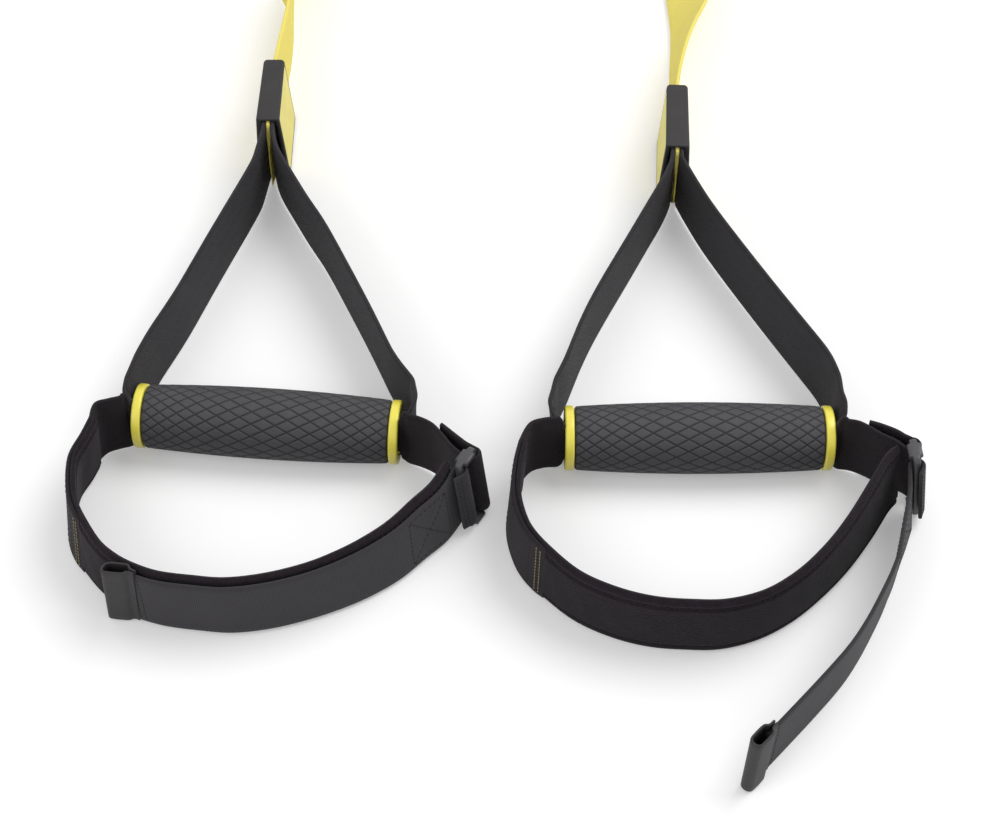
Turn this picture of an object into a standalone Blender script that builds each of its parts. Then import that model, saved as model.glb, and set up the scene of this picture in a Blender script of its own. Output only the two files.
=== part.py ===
"""Suspension trainer: two handles with foot cradles on adjustable straps, and one anchor.

Metres, +Z up. The trainer lies on the floor, z = 0, with its straps fully shortened.
The origin is on the floor under the middle of the anchor collar, where both straps
meet. The handles lie towards -Y and the carabiner towards +Y.
"""

import math
from collections import namedtuple

import bmesh
import bpy
from mathutils import Matrix, Vector

# Webbing and the clearance between touching pieces
WEBBING_WIDTH = 0.038
WEBBING_THICKNESS = 0.0020
GAP = 0.0003
FLOOR_GAP = 0.0002
OVERRUN = 0.002

# Grip: rubber barrel on a plastic tube, closed by two end rings
GRIP_LENGTH = 0.126
GRIP_RADIUS = 0.017
GRIP_END_RADIUS = 0.0150
RING_RADIUS = 0.0154
RING_WIDTH = 0.0044
RING_LIP = 0.0020
RUBBER_TO_RING = 0.0005
TUBE_RADIUS = 0.0130
BORE_RADIUS = 0.0112
RING_ROUNDING = 0.0012

# Handle: the webbing triangle from the grip to the yoke
TRIANGLE_HEIGHT = 0.174
GATHERED_WIDTH = 0.026
CORNER_RADIUS = 0.0032
LEG_INSET = 0.005

# Yoke sleeve
YOKE_LENGTH = 0.047
YOKE_HEIGHT = 0.042
YOKE_TOP_THICKNESS = 0.0112
YOKE_BOTTOM_THICKNESS = 0.0164
YOKE_ROUNDING = 0.0015
YOKE_TO_HINGE = 0.0030
PANEL_MARGIN = 0.0026
PANEL_DEPTH = 0.0006
STRAP_END_REACH = 0.009
KNUCKLE_RADIUS = 0.0016

# Foot cradle
CRADLE_HALF_WIDTH = 0.088
CRADLE_DEPTH = 0.105
PAD_THICKNESS = 0.0050
PAD_HEIGHT = 0.0395
PAD_ROUNDING = 0.0014
CORE_WIDTH = 0.012
CORE_OFFSET = 0.0045
WEB_NECK = 0.0012
WEB_FLARE = 0.0035
CLOSURE_THICKNESS = 0.0018
CLOSURE_HEIGHT = 0.036
CLOSURE_RETURN = 0.0080
BAR_WIDTH = 0.0028
BAR_DEPTH = 0.0034
BAR_ROUNDING = 0.0008
RING_RAIL = 0.0026
RING_HEIGHT = 0.0446
BAR_SPACING = 0.0110
TAB_LENGTH = 0.0100
TAB_THICKNESS = 0.0062
TAB_HEIGHT = 0.0410
TAB_ROUNDING = 0.0012
TAB_STAND_OFF = 0.0007

# Where the two handles lie, from the collar
HANDLE_REACH = 0.945
HANDLE_SPACING = 0.205

# Cam buckle, in its own frame: +Y to the anchor, -Y to the handle
BUCKLE_REACH = 0.520
BUCKLE_SIDE = 0.1075
BUCKLE_FRONT = 0.023
BUCKLE_REAR = 0.0205
BUCKLE_WALL = 0.0026
BUCKLE_SIDE_PLAY = 0.0010
BUCKLE_HEIGHT = 0.0200
BUCKLE_PLATE = 0.0020
BUCKLE_BAR_LENGTH = 0.0035
BUCKLE_SLOT = 0.0042
ANVIL_REAR = 0.0100
PIN_RADIUS = 0.0020
PIN_FIT = 0.00005
PIN_HEAD = 0.0008
CAM_PIN_Y = 0.0020
CAM_HUB_RADIUS = 0.0046
CAM_NOSE_RADIUS = 0.0063
CAM_PLAY = 0.0004
LEVER_LENGTH = 0.0260
LEVER_THICKNESS = 0.0032
SPRING_RADIUS = 0.0029
SPRING_WIRE = 0.00045
SPRING_PITCH = 0.0013
SPRING_ROOM_RADIUS = 0.0038
SPRING_ROOM_WIDTH = 0.0100
FOLD_RETURN = 0.024

# Tab at the tail of the yellow strap, which runs on the black strap
TAB_TO_MEETING = 0.0751
SLIDE_TAB_LENGTH = 0.024
SLIDE_TAB_WALL = 0.0024
SLIDE_TAB_PLAY = 0.0008

# Anchor: collar, loop and carabiner
COLLAR_LENGTH = 0.046
COLLAR_SIDE = 0.0040
COLLAR_WALL = 0.0014
COLLAR_PLAY = 0.0008
STRAP_MEET_X = 0.0115
STRAP_MEET_Y = 0.070
RAMP_LENGTH = 0.024
RAMP_LEAD = 0.003
LOOP_WIDTH = 0.025
LOOP_REACH = 0.066
CARABINER_ROD = 0.0050
CARABINER_LENGTH = 0.092
CARABINER_HALF_WIDTH = 0.026
GATE_ROD = 0.0040
GATE_TONGUE = 0.0050
GATE_FOOT_GAP = 0.0020
GATE_PIN_RADIUS = 0.0015
EAR_THICKNESS = 0.0021
EAR_HALF_WIDTH = 0.0046
GATE_PLAY = 0.0004

# Shapes as shares, chosen by hand.
# Power that makes the grip's barrel fuller.
BARREL_POWER = 0.8
# Handles: across as a share of HANDLE_SPACING, along as a share of HANDLE_REACH.
GRIP_PLACE_SHARES = {"left": (-0.526, 0.991), "right": (0.466, 1.0)}
HANDLE_YAW = {"left": math.radians(-4.7), "right": 0.0}
YOKE_TILT = {"left": math.radians(4.4), "right": math.radians(-3.0)}
# Yoke mouth and legs: x by half the grip's length, y by TRIANGLE_HEIGHT.
MOUTH_SHARES = {"left": (-0.425, 1.042), "right": (-0.016, 0.986)}
LEFT_LEG_SHARES = {
    "left": ((-0.475, 0.905), (-0.483, 0.87), (-0.643, 0.65), (-0.754, 0.49), (-0.85, 0.345),
             (-0.937, 0.25), (-0.985, 0.185), (-1.02, 0.12)),
    "right": ((-0.115, 0.892), (-0.271, 0.78), (-0.452, 0.64), (-0.644, 0.50), (-0.82, 0.36),
              (-0.93, 0.243), (-0.985, 0.178), (-1.05, 0.12)),
}
RIGHT_LEG_SHARES = {
    "left": ((-0.32, 0.942), (-0.16, 0.852), (0.04, 0.73), (0.184, 0.66), (0.425, 0.50), (0.625, 0.37),
             (0.81, 0.24), (0.88, 0.19), (0.97, 0.14), (1.055, 0.10)),
    "right": ((0.06, 0.912), (0.135, 0.84), (0.233, 0.75), (0.465, 0.58), (0.717, 0.40), (0.943, 0.247),
              (1.008, 0.195), (1.045, 0.13)),
}
# How far the webbing stands out past the grip's two ends, by half the grip's length, and
# round its corner: the turn, the curl across its width, and how far it's gathered.
CORNER_SHARES = {"left": (0.045, 0.10), "right": (0.10, 0.06)}
CORNER_GATHER_SHARES = ((0, math.radians(50), 0.35), (0.5, math.radians(110), 0.8),
                        (1, math.radians(155), 1))
BORE_CURL = math.radians(160)
FOOT_CURL = math.radians(35)
# Foot pad: x by CRADLE_HALF_WIDTH, y by CRADLE_DEPTH, and the lean of its top inwards
# by WEBBING_WIDTH.
PAD_SHARES = {
    "left": ((-0.892, -0.18, 0.11), (-0.915, -0.27, 0.12), (-0.952, -0.39, 0.14),
             (-0.932, -0.52, 0.14), (-0.887, -0.64, 0.14), (-0.807, -0.74, 0.12),
             (-0.702, -0.84, 0.08), (-0.602, -0.9, 0.05), (-0.492, -0.94, 0.02),
             (-0.353, -0.97, 0.0), (-0.183, -0.98, 0.0), (-0.013, -0.98, 0.0), (0.177, -0.945, 0.0),
             (0.362, -0.885, 0.0), (0.518, -0.815, 0.02), (0.648, -0.74, 0.04),
             (0.768, -0.65, 0.06), (0.873, -0.54, 0.08), (0.968, -0.44, 0.1), (1.03, -0.325, 0.12)),
    "right": ((-0.947, -0.17, 0.06), (-0.972, -0.27, 0.06), (-0.987, -0.4, 0.06),
              (-0.972, -0.51, 0.05), (-0.922, -0.63, 0.04), (-0.822, -0.74, 0.02),
              (-0.672, -0.86, 0.0), (-0.492, -0.94, 0.0), (-0.312, -0.985, 0.0), (-0.132, -1, 0.0),
              (0.053, -0.998, 0.0), (0.248, -0.95, 0.0), (0.428, -0.855, 0.03), (0.588, -0.73, 0.07),
              (0.728, -0.59, 0.12), (0.858, -0.43, 0.16), (0.963, -0.29, 0.17), (1.02, -0.243, 0.16)),
}
# Cradle web, same two sizes: from the pad's start to the grip, from the grip to the ring's
# far bar, and its free end folded back from there.
WEB_START_SHARES = {
    "left": ((-0.925, -0.14), (-0.885, -0.108), (-0.825, -0.08), (-0.765, -0.06)),
    "right": ((-0.972, -0.125), (-0.905, -0.078), (-0.83, -0.05), (-0.765, -0.045)),
}
WEB_END_SHARES = {
    "left": ((0.775, -0.055), (0.843, -0.074), (0.915, -0.108), (0.981, -0.168), (1.034, -0.224),
             (1.091, -0.269)),
    "right": ((0.77, -0.057), (0.828, -0.07), (0.882, -0.099), (0.949, -0.143), (1.017, -0.178),
              (1.062, -0.212)),
}
WEB_BACK_SHARES = {
    "left": ((1.117, -0.214), (1.033, -0.154), (0.96, -0.101)),
    "right": ((1.074, -0.152), (1.031, -0.124), (0.953, -0.09), (0.886, -0.068)),
}
# How far the web has spread at its flare, its neck, the grip's end and inside the ring.
WEB_SPREAD_SHARES = (0.9, 0.6, 0.15, 0)
WEB_TIP_LEAN_SHARE = 0.3
# How many of the pad's points the web is sewn along.
WEB_SEWN_POINTS = 6
PAD_RISE_START_SHARE = 0.7
# Middle of the cradle ring, its direction from the far bar to the near bar, its lean.
RING_PLACE_SHARES = {"left": (1.13, -0.314), "right": (1.1125, -0.257)}
RING_TURN = {"left": math.radians(-27.0), "right": math.radians(3.0)}
RING_LEAN_SHARES = {"left": 0.13, "right": 0.16}
WEB_LEAD = {"left": math.radians(15), "right": math.radians(40)}
WEB_WRAP = math.radians(165)
CLOSURE_LEAD = math.radians(25)
# Free closure strap of the right handle, same two sizes.
LOOSE_SHARES = ((1.078, -0.39), (1.04, -0.49), (0.998, -0.59), (0.955, -0.7), (0.893, -0.82),
                (0.818, -0.94), (0.728, -1.07), (0.628, -1.19), (0.488, -1.325), (0.328, -1.47),
                (0.188, -1.595))
LOOSE_LEAN_FADE_SHARE = 0.35
CLOSURE_END_SHARE = -0.53
# Yellow strap from the yoke to the buckle, as shares of the run: along, sideways from the
# straight line between its two ends, and the quarter twist.
STRAP_RUN_SHARES = {
    "left": ((0.116, 0.0043, 0.0), (0.27, 0.007, 0.02), (0.43, 0.0011, 0.06), (0.555, -0.0103, 0.18),
             (0.68, -0.0229, 0.45), (0.79, -0.0301, 0.75), (0.9, -0.0231, 0.94)),
    "right": ((0.103, 0.004, 0.04), (0.214, 0.0094, 0.12), (0.309, 0.0203, 0.2), (0.409, 0.035, 0.3),
              (0.52, 0.0446, 0.42), (0.66, 0.0476, 0.6), (0.8, 0.0443, 0.8), (0.91, 0.0309, 0.96)),
}
COLLAR_BEND_SHARES = ((1.0, 1.0), (0.36, 0.59))
# Carabiner's rod from the gate's hinge round to its nose: x by CARABINER_HALF_WIDTH,
# y by CARABINER_LENGTH.
CARABINER_SHARES = ((0.96, 0.175), (0.88, 0.09), (0.70, 0.025), (0.48, 0.0), (0.0, 0.0), (-0.48, 0.0),
                    (-0.72, 0.03), (-0.90, 0.11), (-0.97, 0.24), (-1.0, 0.45), (-1.0, 0.65),
                    (-0.95, 0.80), (-0.80, 0.91), (-0.52, 0.98), (-0.15, 1.0), (0.25, 0.985),
                    (0.62, 0.94), (0.86, 0.86), (0.96, 0.775))
FOLD_DEPTH_SHARE = 0.8
GATE_FOOT_SHARE = 0.235
GATE_HEAD_SHARE = 0.75

# Colours and finish
MATERIALS = {
    "yellow_webbing": ((0.90, 0.80, 0.16), 0.75, 0.0),
    "black_webbing": ((0.030, 0.027, 0.031), 0.85, 0.0),
    "pad_fabric": ((0.020, 0.017, 0.024), 0.95, 0.0),
    "grip_rubber": ((0.055, 0.055, 0.058), 0.65, 0.0),
    "black_rubber": ((0.045, 0.044, 0.048), 0.60, 0.0),
    "yellow_plastic": ((0.88, 0.80, 0.14), 0.45, 0.0),
    "black_plastic": ((0.040, 0.040, 0.042), 0.45, 0.0),
    "steel": ((0.55, 0.55, 0.56), 0.30, 1.0),
    "black_metal": ((0.05, 0.05, 0.055), 0.40, 0.6),
}

SIDES = ("left", "right")
UP = Vector((0, 0, 1))
HALF_GRIP = GRIP_LENGTH / 2
HALF_PI = math.pi / 2

# One cross-section of a strap: its middle, the unit vector across its width, the unit
# normal of its face, its width, and the angle that its width curls through.
Section = namedtuple("Section", "middle across face width curl")


# Scene and collections


def clear_scene():
    for thing in list(bpy.data.objects):
        bpy.data.objects.remove(thing, do_unlink=True)


def make_collection(name):
    collection = bpy.data.collections.new(name)
    bpy.context.scene.collection.children.link(collection)
    return collection


clear_scene()
PARTS = make_collection("suspension_trainer")
CUTTERS = make_collection("cutters")


def make_material(name):
    color, roughness, metallic = MATERIALS[name]
    material = bpy.data.materials.new(name)
    material.use_nodes = True
    shader = material.node_tree.nodes["Principled BSDF"]
    shader.inputs["Base Color"].default_value = (*color, 1)
    shader.inputs["Roughness"].default_value = roughness
    shader.inputs["Metallic"].default_value = metallic
    material.diffuse_color = (*color, 1)
    return material


FINISH = {name: make_material(name) for name in MATERIALS}


def add_object(name, data, finish, parent, place=(0, 0, 0)):
    thing = bpy.data.objects.new(name, data)
    PARTS.objects.link(thing)
    if finish:
        data.materials.append(FINISH[finish])
    thing.parent = parent
    thing.location = place
    return thing


def add_cutter(thing):
    PARTS.objects.unlink(thing)
    CUTTERS.objects.link(thing)
    thing.hide_render = True
    thing.display_type = "WIRE"
    return thing


def add_pivot(name, place, parent=None, turn=0.0, rotation=None):
    """An empty on a joint's axis, or at the middle of a unit that is placed as one."""
    pivot = bpy.data.objects.new(name, None)
    PARTS.objects.link(pivot)
    pivot.parent = parent
    pivot.location = place
    pivot.rotation_euler = rotation if rotation else (0, 0, turn)
    return pivot


def boolean(thing, other, operation):
    modifier = thing.modifiers.new(operation.lower(), "BOOLEAN")
    modifier.operation = operation
    modifier.object = add_cutter(other)


def bevel(thing, width, segments=2, angle=math.radians(40)):
    modifier = thing.modifiers.new("rounding", "BEVEL")
    modifier.width = width
    modifier.segments = segments
    modifier.limit_method = "ANGLE"
    modifier.angle_limit = angle


def shade_round(mesh):
    mesh.shade_smooth()
    mesh.set_sharp_from_angle(angle=math.radians(35))


# Basic solids


def box(name, low, high, finish, parent, rounding=0.0):
    """A box between two corners, in its parent's frame."""
    low, high = Vector(low), Vector(high)
    shape = bmesh.new()
    bmesh.ops.create_cube(shape, size=1)
    bmesh.ops.scale(shape, vec=high - low, verts=shape.verts)
    bmesh.ops.translate(shape, vec=(high + low) / 2, verts=shape.verts)
    mesh = bpy.data.meshes.new(name)
    shape.to_mesh(mesh)
    shape.free()
    thing = add_object(name, mesh, finish, parent)
    if rounding:
        bevel(thing, rounding)
    return thing


def cylinder(name, radius, length, finish, parent, place, turn, sides=24):
    """A cylinder centred on its place, its axis turned from Z."""
    shape = bmesh.new()
    bmesh.ops.create_cone(shape, cap_ends=True, segments=sides, radius1=radius, radius2=radius,
                          depth=length)
    bmesh.ops.rotate(shape, matrix=turn, verts=shape.verts)
    mesh = bpy.data.meshes.new(name)
    shape.to_mesh(mesh)
    shape.free()
    shade_round(mesh)
    return add_object(name, mesh, finish, parent, place)


def turned(name, profile, finish, parent, place, steps=32):
    """A closed profile of (radius, along) points, turned about its parent's X axis."""
    shape = bmesh.new()
    corners = [shape.verts.new((radius, 0, along)) for radius, along in profile]
    for here, there in zip(corners, corners[1:] + corners[:1]):
        shape.edges.new((here, there))
    mesh = bpy.data.meshes.new(name)
    shape.to_mesh(mesh)
    shape.free()
    thing = add_object(name, mesh, finish, parent, place)
    thing.rotation_euler = (0, HALF_PI, 0)
    screw = thing.modifiers.new("turning", "SCREW")
    screw.steps = steps
    screw.render_steps = steps
    screw.use_merge_vertices = True
    screw.merge_threshold = 0.00001
    screw.use_smooth_shade = True
    return thing


def rod(name, points, radius, finish, parent, resolution=2):
    """A round rod along points, as a curve with filled caps."""
    data = bpy.data.curves.new(name, "CURVE")
    data.dimensions = "3D"
    data.bevel_depth = radius
    data.bevel_resolution = resolution
    data.use_fill_caps = True
    spline = data.splines.new("POLY")
    spline.points.add(len(points) - 1)
    for point, place in zip(spline.points, points):
        point.co = (*place, 1)
    return add_object(name, data, finish, parent)


def as_mesh(thing):
    """The same object as a mesh with welded caps, so that it can be cut and joined."""
    bpy.context.view_layer.update()
    graph = bpy.context.evaluated_depsgraph_get()
    mesh = bpy.data.meshes.new_from_object(thing.evaluated_get(graph))
    shape = bmesh.new()
    shape.from_mesh(mesh)
    bmesh.ops.remove_doubles(shape, verts=shape.verts, dist=0.00001)
    shape.to_mesh(mesh)
    shape.free()
    solid = bpy.data.objects.new(thing.name + "_solid", mesh)
    PARTS.objects.link(solid)
    solid.parent = thing.parent
    solid.location = thing.location
    solid.rotation_euler = thing.rotation_euler
    name = thing.name
    bpy.data.objects.remove(thing, do_unlink=True)
    solid.name = name
    return solid


def plate(name, outlines, thickness, finish, parent):
    """A flat outline with holes, as a filled 2D curve extruded both ways along its Z."""
    data = bpy.data.curves.new(name, "CURVE")
    data.dimensions = "2D"
    data.fill_mode = "BOTH"
    data.extrude = thickness / 2
    for outline in outlines:
        spline = data.splines.new("POLY")
        spline.points.add(len(outline) - 1)
        spline.use_cyclic_u = True
        for point, place in zip(spline.points, outline):
            point.co = (*place, 0, 1)
    return add_object(name, data, finish, parent)


def rounded_outline(half_x, half_y, radius, steps=3, middle=(0, 0)):
    """The points of a rectangle with round corners."""
    points = []
    for corner, (sign_x, sign_y) in enumerate(((1, 1), (-1, 1), (-1, -1), (1, -1))):
        for step in range(steps + 1):
            angle = HALF_PI * (corner + step / steps)
            points.append((middle[0] + sign_x * (half_x - radius) + radius * math.cos(angle),
                           middle[1] + sign_y * (half_y - radius) + radius * math.sin(angle)))
    return points


# Straps


def smooth(points, steps):
    """A smooth line through points of any size, as tuples."""
    line = []
    for index in range(len(points) - 1):
        before = points[max(index - 1, 0)]
        here, there = points[index], points[index + 1]
        after = points[min(index + 2, len(points) - 1)]
        for step in range(steps):
            t = step / steps
            line.append(tuple(
                0.5 * (2 * b + (c - a) * t + (2 * a - 5 * b + 4 * c - d) * t ** 2
                       + (3 * b - a - 3 * c + d) * t ** 3)
                for a, b, c, d in zip(before, here, there, after)))
    line.append(tuple(points[-1]))
    return line


def headings(spots):
    """The unit direction at each spot of a line."""
    found = []
    for index in range(len(spots)):
        found.append((spots[min(index + 1, len(spots) - 1)] - spots[max(index - 1, 0)]).normalized())
    return found


def standing_sections(line):
    """Sections of a strap on edge, from points (x, y, z, width, curl, lean).

    Its face looks to the left of the way it runs, and its top leans to that side by
    lean times its width.
    """
    spots = [Vector(point[:3]) for point in line]
    sections = []
    for spot, heading, point in zip(spots, headings(spots), line):
        left = UP.cross(heading).normalized()
        across = (UP + left * point[5]).normalized()
        face = (left - across * left.dot(across)).normalized()
        sections.append(Section(spot, across, face, point[3], point[4]))
    return sections


def section_points(section, columns):
    """Points across a strap's width. It curls away from its face."""
    points = []
    for column in range(columns + 1):
        share = column / columns - 0.5
        if abs(section.curl) < 0.01:
            points.append(section.middle + section.across * (share * section.width))
            continue
        radius = section.width / section.curl
        angle = share * section.curl
        points.append(section.middle + section.across * (radius * math.sin(angle))
                      - section.face * (radius * (1 - math.cos(angle))))
    return points


def webbing(name, sections, thickness, finish, parent, place=(0, 0, 0), columns=1):
    """A strap: an open strip through its sections, with Solidify. The sections are in the
    frame that place is given in, which is the parent's frame moved by place."""
    shape = bmesh.new()
    rows = [[shape.verts.new(point) for point in section_points(section, columns)]
            for section in sections]
    for row, after in zip(rows, rows[1:]):
        for column in range(columns):
            shape.faces.new((row[column], row[column + 1], after[column + 1], after[column]))
    bmesh.ops.recalc_face_normals(shape, faces=shape.faces)
    mesh = bpy.data.meshes.new(name)
    shape.to_mesh(mesh)
    shape.free()
    mesh.shade_smooth()
    thing = add_object(name, mesh, finish, parent, place)
    solidify = thing.modifiers.new("thickness", "SOLIDIFY")
    solidify.thickness = thickness
    solidify.offset = 0
    solidify.use_even_offset = True
    return thing


def fold(centre, start, across, radius, turn, steps=6):
    """Sections of a strap that runs half way round a bar: from start, a unit vector,
    turning by turn about the bar's direction."""
    sections = []
    for step in range(steps + 1):
        spin = Matrix.Rotation(turn * step / steps, 3, across)
        outward = spin @ start
        sections.append((centre + outward * radius, outward))
    return sections


# Handle set


def handle_spot(side):
    across, along = GRIP_PLACE_SHARES[side]
    return Vector((HANDLE_SPACING * across, -HANDLE_REACH * along, 0))


def triangle_spot(share):
    return share[0] * HALF_GRIP, share[1] * TRIANGLE_HEIGHT


def cradle_spot(share):
    return share[0] * CRADLE_HALF_WIDTH, share[1] * CRADLE_DEPTH


def yoke_axis(side):
    """The unit vector from the yoke's mouth to its back, in the handle's frame."""
    turn = YOKE_TILT[side]
    return Vector((-math.sin(turn), math.cos(turn), 0))


def yoke_mouth(side):
    return Vector((*triangle_spot(MOUTH_SHARES[side]), 0))


LEG_OFFSET = WEBBING_THICKNESS + GAP
YOKE_MIDDLE_HEIGHT = YOKE_HEIGHT / 2
LEG_HEIGHT = WEBBING_WIDTH / 2 + FLOOR_GAP
BORE_LINE = BORE_RADIUS - WEBBING_THICKNESS
SLOT_HALF_THICKNESS = 1.5 * WEBBING_THICKNESS + 2 * GAP
SLOT_HALF_HEIGHT = WEBBING_WIDTH / 2 + GAP


def leg_line(side, shares, hand):
    """One leg of the webbing loop, as points (x, y, z, width, curl, lean): straight through
    the yoke, down to the grip, and round the rim into its bore. hand is -1 for the left leg
    and 1 for the right."""
    mouth, axis = yoke_mouth(side), yoke_axis(side)
    sideways = Vector((axis.y, -axis.x, 0)) * (hand * LEG_OFFSET)
    straight = []
    for depth in (YOKE_LENGTH - LEG_INSET, -STRAP_END_REACH / 2):
        spot = mouth + axis * depth + sideways
        straight.append((spot.x, spot.y, YOKE_MIDDLE_HEIGHT, WEBBING_WIDTH, 0, 0))
    points = [straight[-1]]
    for share in shares:
        x, y = triangle_spot(share)
        closeness = max(0, 1 - share[1] / shares[-3][1])
        points.append((x, y, LEG_HEIGHT + (YOKE_MIDDLE_HEIGHT - LEG_HEIGHT) * share[1],
                       WEBBING_WIDTH, FOOT_CURL * closeness, 0))
    corner_share = CORNER_SHARES[side][0 if hand < 0 else 1]
    centre_x = hand * (HALF_GRIP * (1 + corner_share) - CORNER_RADIUS)
    centre_y = BORE_LINE + CORNER_RADIUS
    for share, curl, width_share in CORNER_GATHER_SHARES:
        angle = HALF_PI * share
        points.append((centre_x + hand * CORNER_RADIUS * math.cos(angle),
                       centre_y - CORNER_RADIUS * math.sin(angle),
                       LEG_HEIGHT + (GRIP_RADIUS - LEG_HEIGHT) * width_share,
                       WEBBING_WIDTH + (GATHERED_WIDTH - WEBBING_WIDTH) * width_share, curl, 0))
    points.append((hand * (HALF_GRIP - 2 * RING_WIDTH), BORE_LINE, GRIP_RADIUS, GATHERED_WIDTH,
                   BORE_CURL, 0))
    return straight[:1] + smooth(points, 2)


def make_handle_webbing(side, pivot, place):
    """One loop of webbing: down the left leg, through the grip, up the right leg."""
    left = leg_line(side, LEFT_LEG_SHARES[side], -1)
    right = leg_line(side, RIGHT_LEG_SHARES[side], 1)
    line = left + right[::-1]
    return webbing("handle_webbing_" + side, standing_sections(line), WEBBING_THICKNESS,
                   "black_webbing", pivot, place, columns=6)


def make_yoke(side, pivot, place):
    """A wedge-shaped rubber sleeve, narrow above, with a slot for three layers."""
    name = "yoke_sleeve_" + side
    mouth, axis = yoke_mouth(side), yoke_axis(side)
    middle = mouth + axis * (YOKE_LENGTH / 2) + UP * YOKE_MIDDLE_HEIGHT
    turn = (0, 0, YOKE_TILT[side])
    shape = bmesh.new()
    bmesh.ops.create_cube(shape, size=1)
    for corner in shape.verts:
        thickness = YOKE_TOP_THICKNESS if corner.co.z > 0 else YOKE_BOTTOM_THICKNESS
        corner.co = Vector((corner.co.x * thickness, corner.co.y * YOKE_LENGTH,
                            corner.co.z * YOKE_HEIGHT))
    mesh = bpy.data.meshes.new(name)
    shape.to_mesh(mesh)
    shape.free()
    sleeve = add_object(name, mesh, "black_rubber", pivot, place + middle)
    sleeve.rotation_euler = turn
    bevel(sleeve, YOKE_ROUNDING)
    slot = box("slot_" + side, (-SLOT_HALF_THICKNESS, -YOKE_LENGTH, -SLOT_HALF_HEIGHT),
               (SLOT_HALF_THICKNESS, YOKE_LENGTH, SLOT_HALF_HEIGHT), None, pivot)
    slot.location = place + middle
    slot.rotation_euler = turn
    boolean(sleeve, slot, "DIFFERENCE")
    slope = math.atan2((YOKE_BOTTOM_THICKNESS - YOKE_TOP_THICKNESS) / 2, YOKE_HEIGHT)
    half_thickness = (YOKE_TOP_THICKNESS + YOKE_BOTTOM_THICKNESS) / 4
    for hand, label in ((-1, "a"), (1, "b")):
        tilt = Matrix.Rotation(YOKE_TILT[side], 4, "Z") @ Matrix.Rotation(-hand * slope, 4, "Y")
        face = place + middle + tilt @ Vector((hand * half_thickness, 0, 0))
        sizes = Vector((PANEL_DEPTH, YOKE_LENGTH / 2 - PANEL_MARGIN, YOKE_HEIGHT / 2 - PANEL_MARGIN))
        pocket = box(f"pocket_{label}_{side}", -sizes, sizes, None, pivot)
        gap = Vector((0, GAP, GAP))
        depth = Vector((PANEL_DEPTH - GAP, 0, 0))
        low, high = -sizes + gap + depth, sizes - gap - Vector((PANEL_DEPTH, 0, 0))
        if hand < 0:
            low.x, high.x = -high.x, -low.x
        panel = box(f"yoke_panel_{label}_{side}", low, high, "yellow_plastic", pivot)
        for thing in (pocket, panel):
            thing.location = face
            thing.rotation_euler = tilt.to_euler()
        boolean(sleeve, pocket, "DIFFERENCE")


def make_strap_end(side, pivot, place):
    """The yellow end between the legs, from the hinge side of the yoke to the crotch."""
    mouth, axis = yoke_mouth(side), yoke_axis(side)
    back = YOKE_LENGTH + YOKE_TO_HINGE - KNUCKLE_RADIUS - GAP
    points = []
    for depth in (back, YOKE_LENGTH / 2, 0, -STRAP_END_REACH):
        spot = mouth + axis * depth
        height = WEBBING_WIDTH if depth >= 0 else WEBBING_WIDTH - LEG_INSET
        points.append((spot.x, spot.y, YOKE_MIDDLE_HEIGHT, height, 0, 0))
    webbing("strap_end_" + side, standing_sections(points), WEBBING_THICKNESS, "yellow_webbing",
            pivot, place)


def make_grip(side, axis_pivot):
    """Rubber barrel, tube and end rings, on the grip's axis."""
    half_rubber = HALF_GRIP - RING_WIDTH - RUBBER_TO_RING
    bore = TUBE_RADIUS + GAP
    steps = 4
    outer = []
    for step in range(-steps, steps + 1):
        bulge = (GRIP_RADIUS - GRIP_END_RADIUS) * math.cos(HALF_PI * step / steps) ** BARREL_POWER
        outer.append((GRIP_END_RADIUS + bulge, -half_rubber * step / steps))
    turned("grip_rubber_" + side, outer + [(bore, -half_rubber), (bore, half_rubber)],
           "grip_rubber", axis_pivot, (0, 0, 0))
    half_tube = HALF_GRIP - RING_LIP - GAP
    turned("grip_tube_" + side, ((TUBE_RADIUS, half_tube), (TUBE_RADIUS, -half_tube),
                                 (BORE_RADIUS, -half_tube), (BORE_RADIUS, half_tube)),
           "black_plastic", axis_pivot, (0, 0, 0))
    for hand, label in ((-1, "left"), (1, "right")):
        lip = RING_WIDTH - RING_LIP
        profile = [(RING_RADIUS, RING_WIDTH - RING_ROUNDING), (RING_RADIUS, RING_ROUNDING),
                   (RING_RADIUS - RING_ROUNDING, 0), (bore, 0), (bore, lip), (BORE_RADIUS, lip),
                   (BORE_RADIUS, RING_WIDTH), (RING_RADIUS - RING_ROUNDING, RING_WIDTH)]
        ring = turned(f"grip_ring_{label}_{side}", profile, "yellow_plastic", axis_pivot,
                      (hand * (HALF_GRIP - RING_WIDTH), 0, 0))
        if hand < 0:
            ring.rotation_euler = (0, -HALF_PI, 0)


def offset_line(points, distance):
    """A line beside points (x, y, lean), to the left of the way it runs."""
    spots = [Vector((x, y, 0)) for x, y, _ in points]
    return [(spot.x - heading.y * distance, spot.y + heading.x * distance, point[2])
            for spot, heading, point in zip(spots, headings(spots), points)]


PAD_MIDDLE = PAD_HEIGHT / 2 + FLOOR_GAP
RING_MIDDLE = RING_HEIGHT / 2
WEB_TO_PAD = (PAD_THICKNESS + WEBBING_THICKNESS) / 2 + GAP
CLOSURE_TO_PAD = (PAD_THICKNESS + CLOSURE_THICKNESS) / 2 + GAP
TAB_TO_PAD = (PAD_THICKNESS + TAB_THICKNESS) / 2 + TAB_STAND_OFF
BAR_REACH = math.hypot(BAR_WIDTH / 2 - BAR_ROUNDING, BAR_DEPTH / 2 - BAR_ROUNDING) + BAR_ROUNDING
FOLD_RADIUS = BAR_REACH + GAP + WEBBING_THICKNESS / 2
CLOSURE_FOLD_RADIUS = BAR_REACH + GAP + CLOSURE_THICKNESS / 2


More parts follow.
